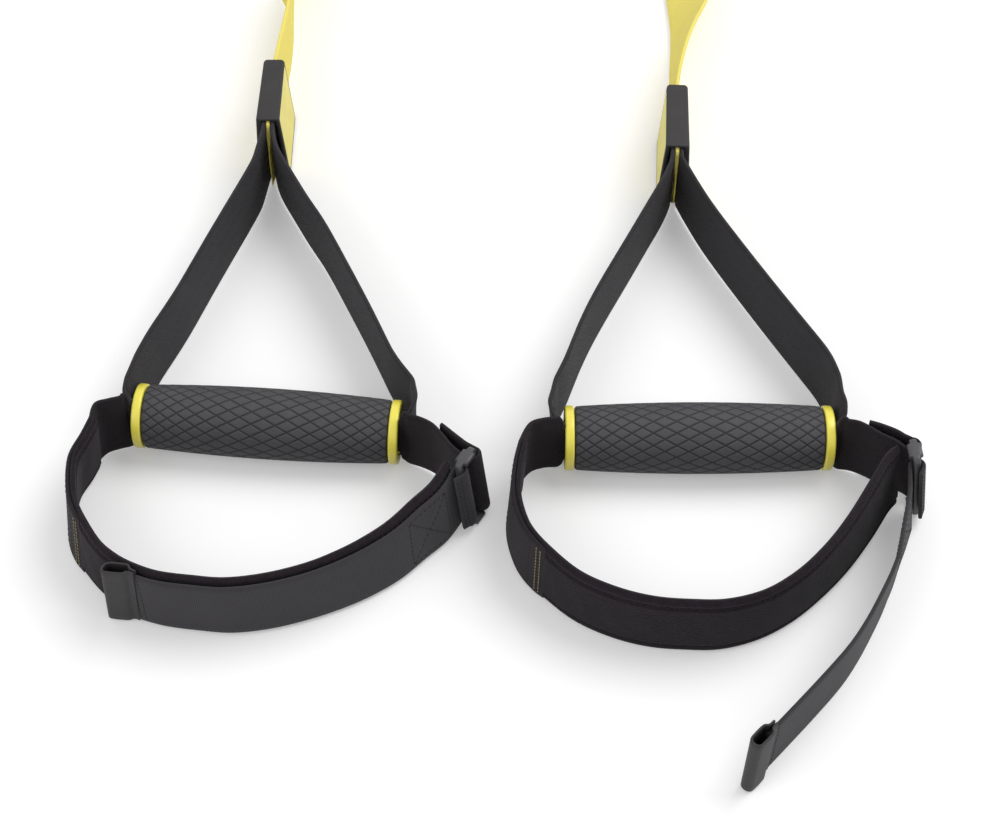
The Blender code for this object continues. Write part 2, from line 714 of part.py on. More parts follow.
def pad_points(side):
    return [(*cradle_spot(share), share[2]) for share in PAD_SHARES[side]]


def ring_frame(side):
    """Middle of the cradle ring, its direction from far to near bar, along its bars, and
    its outward normal."""
    x, y = cradle_spot(RING_PLACE_SHARES[side])
    middle = Vector((x, y, RING_MIDDLE))
    turn = RING_TURN[side]
    run = Vector((math.sin(turn), -math.cos(turn), 0))
    outward = Vector((-run.y, run.x, 0))
    bars = (UP - outward * RING_LEAN_SHARES[side]).normalized()
    return middle, run, bars, outward


def leaning_sections(side, shares, first, last):
    """Sections of the web near the ring. Their lean grows from first to last, as shares of
    the ring's own lean."""
    _, _, _, outward = ring_frame(side)
    line = smooth([cradle_spot(share) for share in shares], 2)
    spots = [Vector((*spot, 0)) for spot in line]
    sections = []
    for index, (spot, heading) in enumerate(zip(spots, headings(spots))):
        part = first + (last - first) * index / (len(spots) - 1)
        across = (UP - outward * (RING_LEAN_SHARES[side] * part)).normalized()
        height = PAD_MIDDLE + (RING_MIDDLE - PAD_MIDDLE) * part
        sections.append(Section(spot + UP * height, across, UP.cross(heading), WEBBING_WIDTH, 0))
    return sections


def make_cradle_web(side, pivot, place):
    """The web sewn outside the pad's start, gathered through the grip, and folded round the
    far bar of the ring."""
    sewn = offset_line(smooth(pad_points(side), 2), -WEB_TO_PAD)[:2 * WEB_SEWN_POINTS - 1]
    line = [(x, y, PAD_MIDDLE, WEBBING_WIDTH, 0, -lean) for x, y, lean in sewn[::-1]]
    start = [cradle_spot(share) for share in WEB_START_SHARES[side]]
    line += [(x, y, PAD_MIDDLE, WEBBING_WIDTH, 0, 0) for x, y in start]
    gathered = []
    for reach, spread_share in zip((WEB_FLARE, WEB_NECK, -GAP, -RING_WIDTH), WEB_SPREAD_SHARES):
        gathered.append((HALF_GRIP + reach, -CORE_OFFSET,
                         GRIP_RADIUS + (PAD_MIDDLE - GRIP_RADIUS) * spread_share,
                         CORE_WIDTH + (WEBBING_WIDTH - CORE_WIDTH) * spread_share, 0, 0))
    line += [(-x, *rest) for x, *rest in gathered] + gathered[::-1]
    sections = standing_sections(line)
    sections += leaning_sections(side, WEB_END_SHARES[side], 0, 1)
    middle, run, bars, outward = ring_frame(side)
    far_bar = middle - run * (BAR_SPACING / 2)
    start = Matrix.Rotation(-WEB_LEAD[side], 3, bars) @ run
    for spot, normal in fold(far_bar, start, bars, FOLD_RADIUS, WEB_WRAP + WEB_LEAD[side]):
        sections.append(Section(spot, bars, -normal, WEBBING_WIDTH, 0))
    sections += leaning_sections(side, WEB_BACK_SHARES[side], 1, WEB_TIP_LEAN_SHARE)
    webbing("cradle_web_" + side, sections, WEBBING_THICKNESS, "black_webbing", pivot, place)


def make_foot_pad(side, pivot, place):
    points = smooth(pad_points(side), 2)
    rise = (RING_MIDDLE - PAD_MIDDLE) / (1 - PAD_RISE_START_SHARE)
    line = [(x, y, PAD_MIDDLE + rise * max(0, index / len(points) - PAD_RISE_START_SHARE),
             PAD_HEIGHT, 0, lean) for index, (x, y, lean) in enumerate(points)]
    pad = webbing("foot_pad_" + side, standing_sections(line), PAD_THICKNESS, "pad_fabric", pivot,
                  place)
    bevel(pad, PAD_ROUNDING, 2, math.radians(60))


def make_cradle_ring(side, pivot, place):
    """A rectangular plastic ring on edge: two bars and two rails."""
    middle, run, bars, _ = ring_frame(side)
    half_run = (BAR_SPACING + BAR_WIDTH) / 2
    hole_run = (BAR_SPACING - BAR_WIDTH) / 2
    hole_rise = RING_HEIGHT / 2 - RING_RAIL
    hole = ((hole_run, hole_rise), (hole_run, -hole_rise), (-hole_run, -hole_rise),
            (-hole_run, hole_rise))
    outlines = (rounded_outline(half_run, RING_HEIGHT / 2, BAR_WIDTH, steps=2), hole)
    flat = plate("ring_outline_" + side, outlines, BAR_DEPTH, "black_plastic", pivot)
    ring = as_mesh(flat)
    ring.name = "cradle_ring_" + side
    bevel(ring, BAR_ROUNDING, 2, math.radians(60))
    normal = run.cross(bars).normalized()
    ring.matrix_basis = Matrix.Translation(place + middle) @ Matrix(
        (run, bars, normal)).transposed().to_4x4()


def make_closure(side, pivot, place):
    """The hook-and-loop strap: a sewn loop round the near bar, then along the pad or loose."""
    middle, run, bars, _ = ring_frame(side)
    near_bar = middle + run * (BAR_SPACING / 2)
    lead = Matrix.Rotation(-CLOSURE_LEAD, 3, bars)
    start = lead @ bars.cross(run).normalized()
    sewn_end = near_bar + start * CLOSURE_FOLD_RADIUS + lead @ run * CLOSURE_RETURN
    sections = [Section(sewn_end, bars, -start, CLOSURE_HEIGHT, 0)]
    for spot, normal in fold(near_bar, start, bars, CLOSURE_FOLD_RADIUS, math.pi + CLOSURE_LEAD):
        sections.append(Section(spot, bars, -normal, CLOSURE_HEIGHT, 0))
    if side == "left":
        end = CLOSURE_END_SHARE * CRADLE_HALF_WIDTH
        track = offset_line(smooth(pad_points(side), 2), -CLOSURE_TO_PAD)[::-1][1:]
        line = [(x, y, PAD_MIDDLE, CLOSURE_HEIGHT, 0, -lean) for x, y, lean in track if x > end]
        shift = TAB_TO_PAD - CLOSURE_TO_PAD
    else:
        track = smooth([cradle_spot(share) for share in LOOSE_SHARES], 2)
        fade = len(track) * LOOSE_LEAN_FADE_SHARE
        line = [(x, y, CLOSURE_HEIGHT / 2 + FLOOR_GAP, CLOSURE_HEIGHT, 0,
                 -RING_LEAN_SHARES[side] * max(0, 1 - index / fade))
                for index, (x, y) in enumerate(track)]
        shift = 0
    standing = standing_sections(line)
    sections += standing
    webbing("closure_strap_" + side, sections, CLOSURE_THICKNESS, "black_webbing", pivot, place)
    tip, before = standing[-1].middle, standing[-2].middle
    heading = (tip - before).normalized()
    left = UP.cross(heading)
    centre = tip + heading * (TAB_LENGTH / 2 + GAP) + left * shift
    half = Vector((TAB_LENGTH, TAB_THICKNESS, TAB_HEIGHT)) / 2
    tab = box("strap_tab_" + side, -half, half, "black_rubber", pivot, TAB_ROUNDING)
    tab.location = place + Vector((centre.x, centre.y, TAB_HEIGHT / 2 + FLOOR_GAP))
    tab.rotation_euler = (0, 0, math.atan2(heading.y, heading.x))


def make_handle_set(side):
    frame = add_pivot("handle_place_" + side, handle_spot(side), turn=HANDLE_YAW[side])
    hinge_spot = yoke_mouth(side) + yoke_axis(side) * (YOKE_LENGTH + YOKE_TO_HINGE)
    hinge = add_pivot("handle_hinge_" + side, hinge_spot, frame)
    grip_axis = add_pivot("grip_axis_" + side, (0, 0, GRIP_RADIUS), frame)
    make_handle_webbing(side, hinge, -hinge_spot)
    make_yoke(side, hinge, -hinge_spot)
    make_strap_end(side, hinge, -hinge_spot)
    make_grip(side, grip_axis)
    from_axis = Vector((0, 0, -GRIP_RADIUS))
    make_cradle_web(side, grip_axis, from_axis)
    make_foot_pad(side, grip_axis, from_axis)
    make_cradle_ring(side, grip_axis, from_axis)
    middle, run, _, _ = ring_frame(side)
    near_bar = middle + run * (BAR_SPACING / 2)
    closure_pivot = add_pivot("closure_hinge_" + side, near_bar, frame)
    make_closure(side, closure_pivot, -near_bar)


# Cam buckle, yellow strap and black strap of one side

LAYER = WEBBING_THICKNESS + GAP
RETURN_Z = FLOOR_GAP + WEBBING_THICKNESS / 2
PLATE_LOW = FLOOR_GAP + LAYER
PLATE_HIGH = PLATE_LOW + BUCKLE_PLATE
BLACK_Z = PLATE_HIGH + GAP + WEBBING_THICKNESS / 2
YELLOW_Z = BLACK_Z + LAYER
CAM_PIN_Z = YELLOW_Z + WEBBING_THICKNESS / 2 + GAP + CAM_NOSE_RADIUS
INNER_HALF = WEBBING_WIDTH / 2 + BUCKLE_SIDE_PLAY


def hand_of(side):
    return -1 if side == "left" else 1


def buckle_turn(side):
    slant = math.atan2(BUCKLE_SIDE - STRAP_MEET_X, BUCKLE_REACH - STRAP_MEET_Y)
    return hand_of(side) * slant


def buckle_spot(side):
    return Vector((hand_of(side) * BUCKLE_SIDE, -BUCKLE_REACH, 0))


STRAIGHT_LENGTH = math.hypot(BUCKLE_SIDE - STRAP_MEET_X, BUCKLE_REACH - STRAP_MEET_Y)
TAIL_LENGTH = STRAIGHT_LENGTH - TAB_TO_MEETING
RAMP_START = TAIL_LENGTH + SLIDE_TAB_LENGTH / 2 + RAMP_LEAD


def along_strap(side, distance):
    """A spot on the straight stretch of the strap, distance from the buckle's middle."""
    turn = buckle_turn(side)
    return buckle_spot(side) + Vector((-math.sin(turn), math.cos(turn), 0)) * distance


def make_cam_buckle(side):
    frame = add_pivot("buckle_" + side, buckle_spot(side), turn=buckle_turn(side))
    wall_out = INNER_HALF + BUCKLE_WALL
    name = "cam_frame_" + side
    body = box(name, (-wall_out, -BUCKLE_FRONT, PLATE_LOW), (wall_out, BUCKLE_REAR, PLATE_HIGH),
               "black_metal", frame)
    for hand in (-1, 1):
        inner, outer = sorted((hand * INNER_HALF, hand * wall_out))
        wall = box(f"wall_{hand}_{side}", (inner, -BUCKLE_FRONT, FLOOR_GAP),
                   (outer, BUCKLE_REAR, BUCKLE_HEIGHT), None, frame, BUCKLE_WALL / 4)
        boolean(body, wall, "UNION")
    anvil = box("anvil_" + side, (-INNER_HALF - BUCKLE_WALL / 2, -BUCKLE_FRONT + BUCKLE_WALL,
                                  PLATE_LOW + BUCKLE_PLATE / 2),
                (INNER_HALF + BUCKLE_WALL / 2, ANVIL_REAR, YELLOW_Z - WEBBING_THICKNESS / 2 - GAP),
                None, frame)
    boolean(body, anvil, "UNION")
    slot_rear = BUCKLE_REAR - BUCKLE_BAR_LENGTH
    slot = box("bar_slot_" + side, (-INNER_HALF + GAP, slot_rear - BUCKLE_SLOT, -OVERRUN),
               (INNER_HALF - GAP, slot_rear, PLATE_HIGH + OVERRUN), None, frame)
    boolean(body, slot, "DIFFERENCE")
    sideways = Matrix.Rotation(HALF_PI, 3, "Y")
    pin_spot = Vector((0, CAM_PIN_Y, CAM_PIN_Z))
    hole = cylinder("pin_hole_" + side, PIN_RADIUS + PIN_FIT, 2 * wall_out + OVERRUN, None, frame,
                    pin_spot, sideways)
    boolean(body, hole, "DIFFERENCE")
    cylinder("cam_pin_" + side, PIN_RADIUS, 2 * (wall_out + PIN_HEAD), "steel", frame, pin_spot,
             sideways)
    pin_axis = add_pivot("cam_axis_" + side, pin_spot, frame)
    lever = make_cam_lever(side, pin_axis)
    lever_hole = cylinder("lever_hole_" + side, PIN_RADIUS + PIN_FIT, 2 * wall_out, None, pin_axis,
                          (0, 0, 0), sideways)
    boolean(lever, lever_hole, "DIFFERENCE")
    room = cylinder("spring_room_" + side, SPRING_ROOM_RADIUS, SPRING_ROOM_WIDTH, None, pin_axis,
                    (0, 0, 0), sideways)
    boolean(lever, room, "DIFFERENCE")
    turns, steps = 5, 10
    coil = [((step / steps - turns / 2) * SPRING_PITCH,
             SPRING_RADIUS * math.cos(2 * math.pi * step / steps),
             SPRING_RADIUS * math.sin(2 * math.pi * step / steps)) for step in range(turns * steps + 1)]
    rod("cam_spring_" + side, coil, SPRING_WIRE, "steel", pin_axis, resolution=1)


def make_cam_lever(side, pin_axis):
    """Cam and thumb lever: an outline round the pin, in the plane across it."""
    half_width = INNER_HALF - CAM_PLAY
    rise = math.radians(20)
    outline = []
    for degrees in range(268, 301, 8):
        angle = math.radians(degrees)
        outline.append((CAM_NOSE_RADIUS * math.cos(angle), CAM_NOSE_RADIUS * math.sin(angle)))
    for degrees in range(320, 470, 25):
        angle = math.radians(degrees)
        outline.append((CAM_HUB_RADIUS * math.cos(angle), CAM_HUB_RADIUS * math.sin(angle)))
    tip = Vector((-LEVER_LENGTH * math.cos(rise), LEVER_LENGTH * math.sin(rise)))
    lift = Vector((math.sin(rise), math.cos(rise))) * (LEVER_THICKNESS / 2)
    outline += [tuple(tip + lift), tuple(tip - lift)]
    for degrees in (195, 225, 250):
        angle = math.radians(degrees)
        outline.append((CAM_HUB_RADIUS * math.cos(angle), CAM_HUB_RADIUS * math.sin(angle)))
    lever = plate("cam_lever_" + side, (outline,), 2 * half_width, "black_metal", pin_axis)
    lever.rotation_euler = (HALF_PI, 0, HALF_PI)
    return as_mesh(lever)


def make_slide_tab(side):
    """A loop sewn to the yellow tail that runs on the black strap."""
    middle = along_strap(side, TAIL_LENGTH)
    frame = add_pivot("slide_tab_place_" + side, middle, turn=buckle_turn(side))
    inner_low = BLACK_Z - WEBBING_THICKNESS / 2 - GAP
    inner_high = YELLOW_Z + WEBBING_THICKNESS / 2 + GAP
    height_middle = (inner_low + inner_high) / 2
    half_hole = Vector((WEBBING_WIDTH / 2 + SLIDE_TAB_PLAY, (inner_high - inner_low) / 2))
    wall = SLIDE_TAB_WALL
    outlines = (rounded_outline(half_hole.x + wall, half_hole.y + wall, wall),
                rounded_outline(half_hole.x, half_hole.y, wall / 4)[::-1])
    tab = plate("adjustment_tab_" + side, outlines, SLIDE_TAB_LENGTH, "black_rubber", frame)
    tab.rotation_euler = (HALF_PI, 0, 0)
    tab.location = (0, 0, height_middle)


def make_main_strap(side):
    """The yellow strap: flat tail, through the buckle, a quarter twist, and on edge to the
    knuckle in front of the yoke."""
    turn = buckle_turn(side)
    flat_across = Vector((math.cos(turn), math.sin(turn), 0))
    sections = []
    tail_end = TAIL_LENGTH - SLIDE_TAB_LENGTH / 3
    for distance in (tail_end, tail_end / 2, -BUCKLE_FRONT):
        spot = along_strap(side, distance) + UP * YELLOW_Z
        sections.append(Section(spot, flat_across, UP, WEBBING_WIDTH, 0))
    exit_spot = along_strap(side, -BUCKLE_FRONT)
    frame = Matrix.Translation(handle_spot(side)) @ Matrix.Rotation(HANDLE_YAW[side], 4, "Z")
    hinge = frame @ (yoke_mouth(side) + yoke_axis(side) * (YOKE_LENGTH + YOKE_TO_HINGE))
    run = exit_spot.y - hinge.y
    points = [(exit_spot.x, exit_spot.y, YELLOW_Z, 1.0)]
    for along, sideways, twist in STRAP_RUN_SHARES[side][::-1]:
        angle = HALF_PI * twist
        height = max(YELLOW_Z, (YOKE_MIDDLE_HEIGHT - FLOOR_GAP) * math.cos(angle)
                     + WEBBING_THICKNESS / 2 * math.sin(angle))
        line_x = hinge.x + (exit_spot.x - hinge.x) * along
        points.append((line_x + sideways * run, hinge.y + along * run, height, twist))
    points.append((hinge.x, hinge.y, YOKE_MIDDLE_HEIGHT, 0))
    line = smooth(points, 2)[1:]
    spots = [Vector(point[:3]) for point in line]
    for spot, heading, point in zip(spots, headings(spots), line):
        angle = HALF_PI * point[3]
        level = Vector((-heading.y, heading.x, 0)).normalized()
        across = UP * math.cos(angle) + level * math.sin(angle)
        across = (across - heading * across.dot(heading)).normalized()
        sections.append(Section(spot, across, heading.cross(across), WEBBING_WIDTH, 0))
    strap = webbing("main_strap_" + side, sections, WEBBING_THICKNESS, "yellow_webbing", None,
                    columns=2)
    knuckle = cylinder("knuckle_" + side, KNUCKLE_RADIUS, WEBBING_WIDTH, None, None,
                       Vector((hinge.x, hinge.y, YOKE_MIDDLE_HEIGHT)), Matrix.Identity(3), 16)
    boolean(strap, knuckle, "UNION")


COLLAR_LAYERS_Z = [COLLAR_WALL + GAP + WEBBING_THICKNESS / 2 + level * LAYER for level in range(4)]


def make_anchor_strap(side):
    """The black strap from its fold round the buckle's bar to the collar. The left one
    climbs over the right one before they meet."""
    turn = buckle_turn(side)
    flat_across = Vector((math.cos(turn), math.sin(turn), 0))
    backwards = Vector((-math.sin(turn), math.cos(turn), 0))
    bar_front = BUCKLE_REAR - BUCKLE_BAR_LENGTH
    centre_z = (BLACK_Z + RETURN_Z) / 2
    radius = (BLACK_Z - RETURN_Z) / 2
    sections = [Section(along_strap(side, bar_front + FOLD_RETURN) + UP * RETURN_Z, flat_across, -UP,
                        WEBBING_WIDTH, 0)]
    steps = 6
    for step in range(steps + 1):
        angle = math.pi * step / steps
        spot = (along_strap(side, bar_front - radius * math.sin(angle) * FOLD_DEPTH_SHARE)
                + UP * (centre_z - radius * math.cos(angle)))
        face = backwards * -math.sin(angle) - UP * math.cos(angle)
        sections.append(Section(spot, flat_across, face, WEBBING_WIDTH, 0))
    end_z = COLLAR_LAYERS_Z[2] if side == "left" else COLLAR_LAYERS_Z[1]
    for distance, height in ((RAMP_START, BLACK_Z), (RAMP_START + RAMP_LENGTH, end_z)):
        sections.append(Section(along_strap(side, distance) + UP * height, flat_across, UP,
                                WEBBING_WIDTH, 0))
    hand = hand_of(side)
    points = [(hand * STRAP_MEET_X * x, -STRAP_MEET_Y * y) for x, y in COLLAR_BEND_SHARES]
    points += [(0, -COLLAR_LENGTH / 2), (0, COLLAR_LENGTH / 2 - LEG_INSET)]
    spots = [Vector((x, y, end_z)) for x, y in smooth(points, 3)]
    for spot, heading in zip(spots, headings(spots)):
        across = Vector((heading.y, -heading.x, 0))
        sections.append(Section(spot, across, UP, WEBBING_WIDTH, 0))
    webbing("anchor_strap_" + side, sections, WEBBING_THICKNESS, "black_webbing", None)


def make_collar():
    top = COLLAR_LAYERS_Z[3] + WEBBING_THICKNESS / 2 + GAP
    half_width = WEBBING_WIDTH / 2 + COLLAR_PLAY
    collar = box("anchor_collar", (-half_width - COLLAR_SIDE, -COLLAR_LENGTH / 2, 0),
                 (half_width + COLLAR_SIDE, COLLAR_LENGTH / 2, top + COLLAR_WALL), "black_rubber",
                 None, COLLAR_WALL / 2)
    slot = box("collar_slot", (-half_width, -COLLAR_LENGTH, COLLAR_WALL),
               (half_width, COLLAR_LENGTH, top), None, None)
    boolean(collar, slot, "DIFFERENCE")


BAR_CENTRE_Z = FLOOR_GAP + WEBBING_THICKNESS + GAP + CARABINER_ROD


def make_anchor_loop():
    """Webbing out of the collar, round the carabiner's bar, and back in."""
    low, high = COLLAR_LAYERS_Z[0], COLLAR_LAYERS_Z[3]
    radius = CARABINER_ROD + GAP + WEBBING_THICKNESS / 2
    inside = -COLLAR_LENGTH / 2 + LEG_INSET
    points = [(inside, low), (COLLAR_LENGTH / 2, low)]
    steps = 10
    for step in range(steps + 1):
        angle = -HALF_PI + math.pi * step / steps
        points.append((LOOP_REACH + radius * math.cos(angle), BAR_CENTRE_Z + radius * math.sin(angle)))
    points += [(COLLAR_LENGTH / 2, high), (inside, high)]
    spots = [Vector((0, y, z)) for y, z in points]
    across = Vector((1, 0, 0))
    sections = [Section(spot, across, across.cross(heading), LOOP_WIDTH, 0)
                for spot, heading in zip(spots, headings(spots))]
    webbing("anchor_loop", sections, WEBBING_THICKNESS, "black_webbing", None)


def make_carabiner():
    """Rod body with ears for the gate, the gate, and its pin. Its far end is on the floor."""
    drop = math.asin((BAR_CENTRE_Z - CARABINER_ROD - FLOOR_GAP) / CARABINER_LENGTH)
    bar_axis = add_pivot("carabiner_axis", (0, LOOP_REACH, BAR_CENTRE_Z), rotation=(-drop, 0, 0))
    points = [(x * CARABINER_HALF_WIDTH, y * CARABINER_LENGTH, 0) for x, y in
              smooth(CARABINER_SHARES, 2)]
    body = as_mesh(rod("carabiner_body", points, CARABINER_ROD, "black_metal", bar_axis))
    body.data.materials.clear()
    body.data.materials.append(FINISH["black_metal"])
    gate_x = points[0][0]
    hinge_y = GATE_FOOT_SHARE * CARABINER_LENGTH
    tongue = GATE_TONGUE / 2
    for level, label in ((1, "upper"), (-1, "lower")):
        low_z, high_z = sorted((level * (tongue + GATE_PLAY), level * (tongue + GATE_PLAY + EAR_THICKNESS)))
        ear = box("ear_" + label, (gate_x - EAR_HALF_WIDTH, points[0][1] - EAR_HALF_WIDTH, low_z),
                  (gate_x + EAR_HALF_WIDTH, hinge_y + EAR_HALF_WIDTH, high_z), None, bar_axis)
        boolean(body, ear, "UNION")
    gate_axis = add_pivot("gate_axis", (gate_x, hinge_y, 0), bar_axis)
    head_y = GATE_HEAD_SHARE * CARABINER_LENGTH - hinge_y
    foot_y = points[0][1] - hinge_y + GATE_FOOT_GAP
    gate = as_mesh(rod("carabiner_gate", ((0, foot_y, 0), (0, head_y, 0)), GATE_ROD, "steel",
                       gate_axis))
    gate.data.materials.clear()
    gate.data.materials.append(FINISH["steel"])
    for level, label in ((1, "upper"), (-1, "lower")):
        low_z, high_z = sorted((level * tongue, level * (GATE_ROD + OVERRUN)))
        shave = box("shave_" + label, (-2 * GATE_ROD, foot_y - OVERRUN, low_z),
                    (2 * GATE_ROD, EAR_HALF_WIDTH + GATE_ROD / 2, high_z), None, gate_axis)
        boolean(gate, shave, "DIFFERENCE")
    upright = Matrix.Identity(3)
    ear_top = tongue + GATE_PLAY + EAR_THICKNESS
    for owner, label in ((body, "body"), (gate, "gate")):
        hole = cylinder("hole_" + label, GATE_PIN_RADIUS + PIN_FIT, 2 * ear_top + OVERRUN, None,
                        gate_axis, (0, 0, 0), upright, 16)
        boolean(owner, hole, "DIFFERENCE")
    cylinder("carabiner_pin", GATE_PIN_RADIUS, 2 * ear_top, "steel", gate_axis, (0, 0, 0), upright, 16)


for side_name in SIDES:
    make_handle_set(side_name)
    make_cam_buckle(side_name)
    make_slide_tab(side_name)
    make_main_strap(side_name)
    make_anchor_strap(side_name)
make_collar()
make_anchor_loop()
make_carabiner()
bpy.context.view_layer.update()
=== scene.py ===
"""Looks of the suspension trainer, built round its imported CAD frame.

Metres, +Z up, in the frame's own axes: the origin is on the floor under the collar, the
handles lie towards -Y. Straps are rebuilt finer from the same tables as the solids, with a
weave, rounded edges and stitches; grips, rings, sleeves and pads get their full form.
"""

from collections import namedtuple
from functools import partial
from math import asin, atan2, copysign, cos, exp, hypot, pi, radians, sin, sqrt, tan

import bmesh
import bpy
from mathutils import Matrix, Vector


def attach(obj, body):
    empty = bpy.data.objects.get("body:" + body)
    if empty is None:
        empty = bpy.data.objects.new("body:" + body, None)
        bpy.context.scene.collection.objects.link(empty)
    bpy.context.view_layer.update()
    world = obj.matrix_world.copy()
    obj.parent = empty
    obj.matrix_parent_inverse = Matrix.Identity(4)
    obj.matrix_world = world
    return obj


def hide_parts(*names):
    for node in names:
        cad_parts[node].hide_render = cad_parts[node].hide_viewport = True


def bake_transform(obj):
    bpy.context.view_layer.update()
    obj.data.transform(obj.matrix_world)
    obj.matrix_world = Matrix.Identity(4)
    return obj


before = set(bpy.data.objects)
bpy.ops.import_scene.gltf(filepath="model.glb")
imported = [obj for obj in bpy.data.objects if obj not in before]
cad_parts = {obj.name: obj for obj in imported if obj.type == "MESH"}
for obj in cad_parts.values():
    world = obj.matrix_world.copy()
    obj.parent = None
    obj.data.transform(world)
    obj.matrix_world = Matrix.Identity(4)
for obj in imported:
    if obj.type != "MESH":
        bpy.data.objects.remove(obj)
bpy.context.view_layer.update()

SIDES = ("left", "right")
UP = Vector((0, 0, 1))
HALF_PI = pi / 2

# Sizes shared with the solids
WEBBING_WIDTH = 0.038
WEBBING_THICKNESS = 0.0020
GAP = 0.0003
FLOOR_GAP = 0.0002
GRIP_LENGTH = 0.126
GRIP_RADIUS = 0.017
GRIP_END_RADIUS = 0.0150
RING_RADIUS = 0.0154
RING_WIDTH = 0.0044
RING_LIP = 0.0020
RUBBER_TO_RING = 0.0005
TUBE_RADIUS = 0.0130
BORE_RADIUS = 0.0112
TRIANGLE_HEIGHT = 0.174
GATHERED_WIDTH = 0.026
LEG_INSET = 0.005
YOKE_LENGTH = 0.047
YOKE_HEIGHT = 0.042
YOKE_TOP_THICKNESS = 0.0112
YOKE_BOTTOM_THICKNESS = 0.0164
YOKE_TO_HINGE = 0.0030
STRAP_END_REACH = 0.009
CRADLE_HALF_WIDTH = 0.088
CRADLE_DEPTH = 0.105
PAD_THICKNESS = 0.0050
PAD_HEIGHT = 0.0395
CORE_WIDTH = 0.012
CORE_OFFSET = 0.0045
CLOSURE_THICKNESS = 0.0018
CLOSURE_HEIGHT = 0.036
CLOSURE_RETURN = 0.0080
BAR_WIDTH = 0.0028
BAR_DEPTH = 0.0034
BAR_ROUNDING = 0.0008
RING_HEIGHT = 0.0446
BAR_SPACING = 0.0110
TAB_THICKNESS = 0.0062
TAB_HEIGHT = 0.0410
HANDLE_REACH = 0.945
HANDLE_SPACING = 0.205
BUCKLE_REACH = 0.520
BUCKLE_SIDE = 0.1075
BUCKLE_FRONT = 0.023
BUCKLE_REAR = 0.0205
BUCKLE_PLATE = 0.0020
BUCKLE_BAR_LENGTH = 0.0035
FOLD_RETURN = 0.024
TAB_TO_MEETING = 0.0751
SLIDE_TAB_LENGTH = 0.024
COLLAR_LENGTH = 0.046
COLLAR_WALL = 0.0014
STRAP_MEET_X = 0.0115
STRAP_MEET_Y = 0.070
RAMP_LENGTH = 0.024
RAMP_LEAD = 0.003
LOOP_WIDTH = 0.025
LOOP_REACH = 0.066
CARABINER_ROD = 0.0050
CARABINER_LENGTH = 0.092
CARABINER_HALF_WIDTH = 0.026
GATE_ROD = 0.0040
GATE_TONGUE = 0.0050
GATE_FOOT_GAP = 0.0020
EAR_THICKNESS = 0.0021
EAR_HALF_WIDTH = 0.0046
GATE_PLAY = 0.0004

# Shapes shared with the solids, as shares
GRIP_PLACE_SHARES = {"left": (-0.526, 0.991), "right": (0.466, 1.0)}
HANDLE_YAW = {"left": radians(-4.7), "right": 0.0}
YOKE_TILT = {"left": radians(4.4), "right": radians(-3.0)}
BARREL_POWER = 0.8
MOUTH_SHARES = {"left": (-0.425, 1.042), "right": (-0.016, 0.986)}
LEFT_LEG_SHARES = {
    "left": ((-0.475, 0.905), (-0.483, 0.87), (-0.643, 0.65), (-0.754, 0.49), (-0.85, 0.345),
             (-0.937, 0.25), (-0.985, 0.185), (-1.02, 0.12)),
    "right": ((-0.115, 0.892), (-0.271, 0.78), (-0.452, 0.64), (-0.644, 0.50), (-0.82, 0.36),
              (-0.93, 0.243), (-0.985, 0.178), (-1.05, 0.12)),
}
RIGHT_LEG_SHARES = {
    "left": ((-0.32, 0.942), (-0.16, 0.852), (0.04, 0.73), (0.184, 0.66), (0.425, 0.50), (0.625, 0.37),
             (0.81, 0.24), (0.88, 0.19), (0.97, 0.14), (1.055, 0.10)),
    "right": ((0.06, 0.912), (0.135, 0.84), (0.233, 0.75), (0.465, 0.58), (0.717, 0.40), (0.943, 0.247),
              (1.008, 0.195), (1.045, 0.13)),
}
CORNER_SHARES = {"left": (0.045, 0.10), "right": (0.10, 0.06)}
BORE_CURL = radians(160)
PAD_SHARES = {
    "left": ((-0.892, -0.18, 0.11), (-0.915, -0.27, 0.12), (-0.952, -0.39, 0.14),
             (-0.932, -0.52, 0.14), (-0.887, -0.64, 0.14), (-0.807, -0.74, 0.12),
             (-0.702, -0.84, 0.08), (-0.602, -0.9, 0.05), (-0.492, -0.94, 0.02),
             (-0.353, -0.97, 0.0), (-0.183, -0.98, 0.0), (-0.013, -0.98, 0.0), (0.177, -0.945, 0.0),
             (0.362, -0.885, 0.0), (0.518, -0.815, 0.02), (0.648, -0.74, 0.04),
             (0.768, -0.65, 0.06), (0.873, -0.54, 0.08), (0.968, -0.44, 0.1), (1.03, -0.325, 0.12)),
    "right": ((-0.947, -0.17, 0.06), (-0.972, -0.27, 0.06), (-0.987, -0.4, 0.06),
              (-0.972, -0.51, 0.05), (-0.922, -0.63, 0.04), (-0.822, -0.74, 0.02),
              (-0.672, -0.86, 0.0), (-0.492, -0.94, 0.0), (-0.312, -0.985, 0.0), (-0.132, -1, 0.0),
              (0.053, -0.998, 0.0), (0.248, -0.95, 0.0), (0.428, -0.855, 0.03), (0.588, -0.73, 0.07),
              (0.728, -0.59, 0.12), (0.858, -0.43, 0.16), (0.963, -0.29, 0.17), (1.02, -0.243, 0.16)),
}
WEB_START_SHARES = {
    "left": ((-0.925, -0.14), (-0.885, -0.108), (-0.825, -0.08), (-0.765, -0.06)),
    "right": ((-0.972, -0.125), (-0.905, -0.078), (-0.83, -0.05), (-0.765, -0.045)),
}
WEB_END_SHARES = {
    "left": ((0.775, -0.055), (0.843, -0.074), (0.915, -0.108), (0.981, -0.168), (1.034, -0.224),
             (1.091, -0.269)),
    "right": ((0.77, -0.057), (0.828, -0.07), (0.882, -0.099), (0.949, -0.143), (1.017, -0.178),
              (1.062, -0.212)),
}
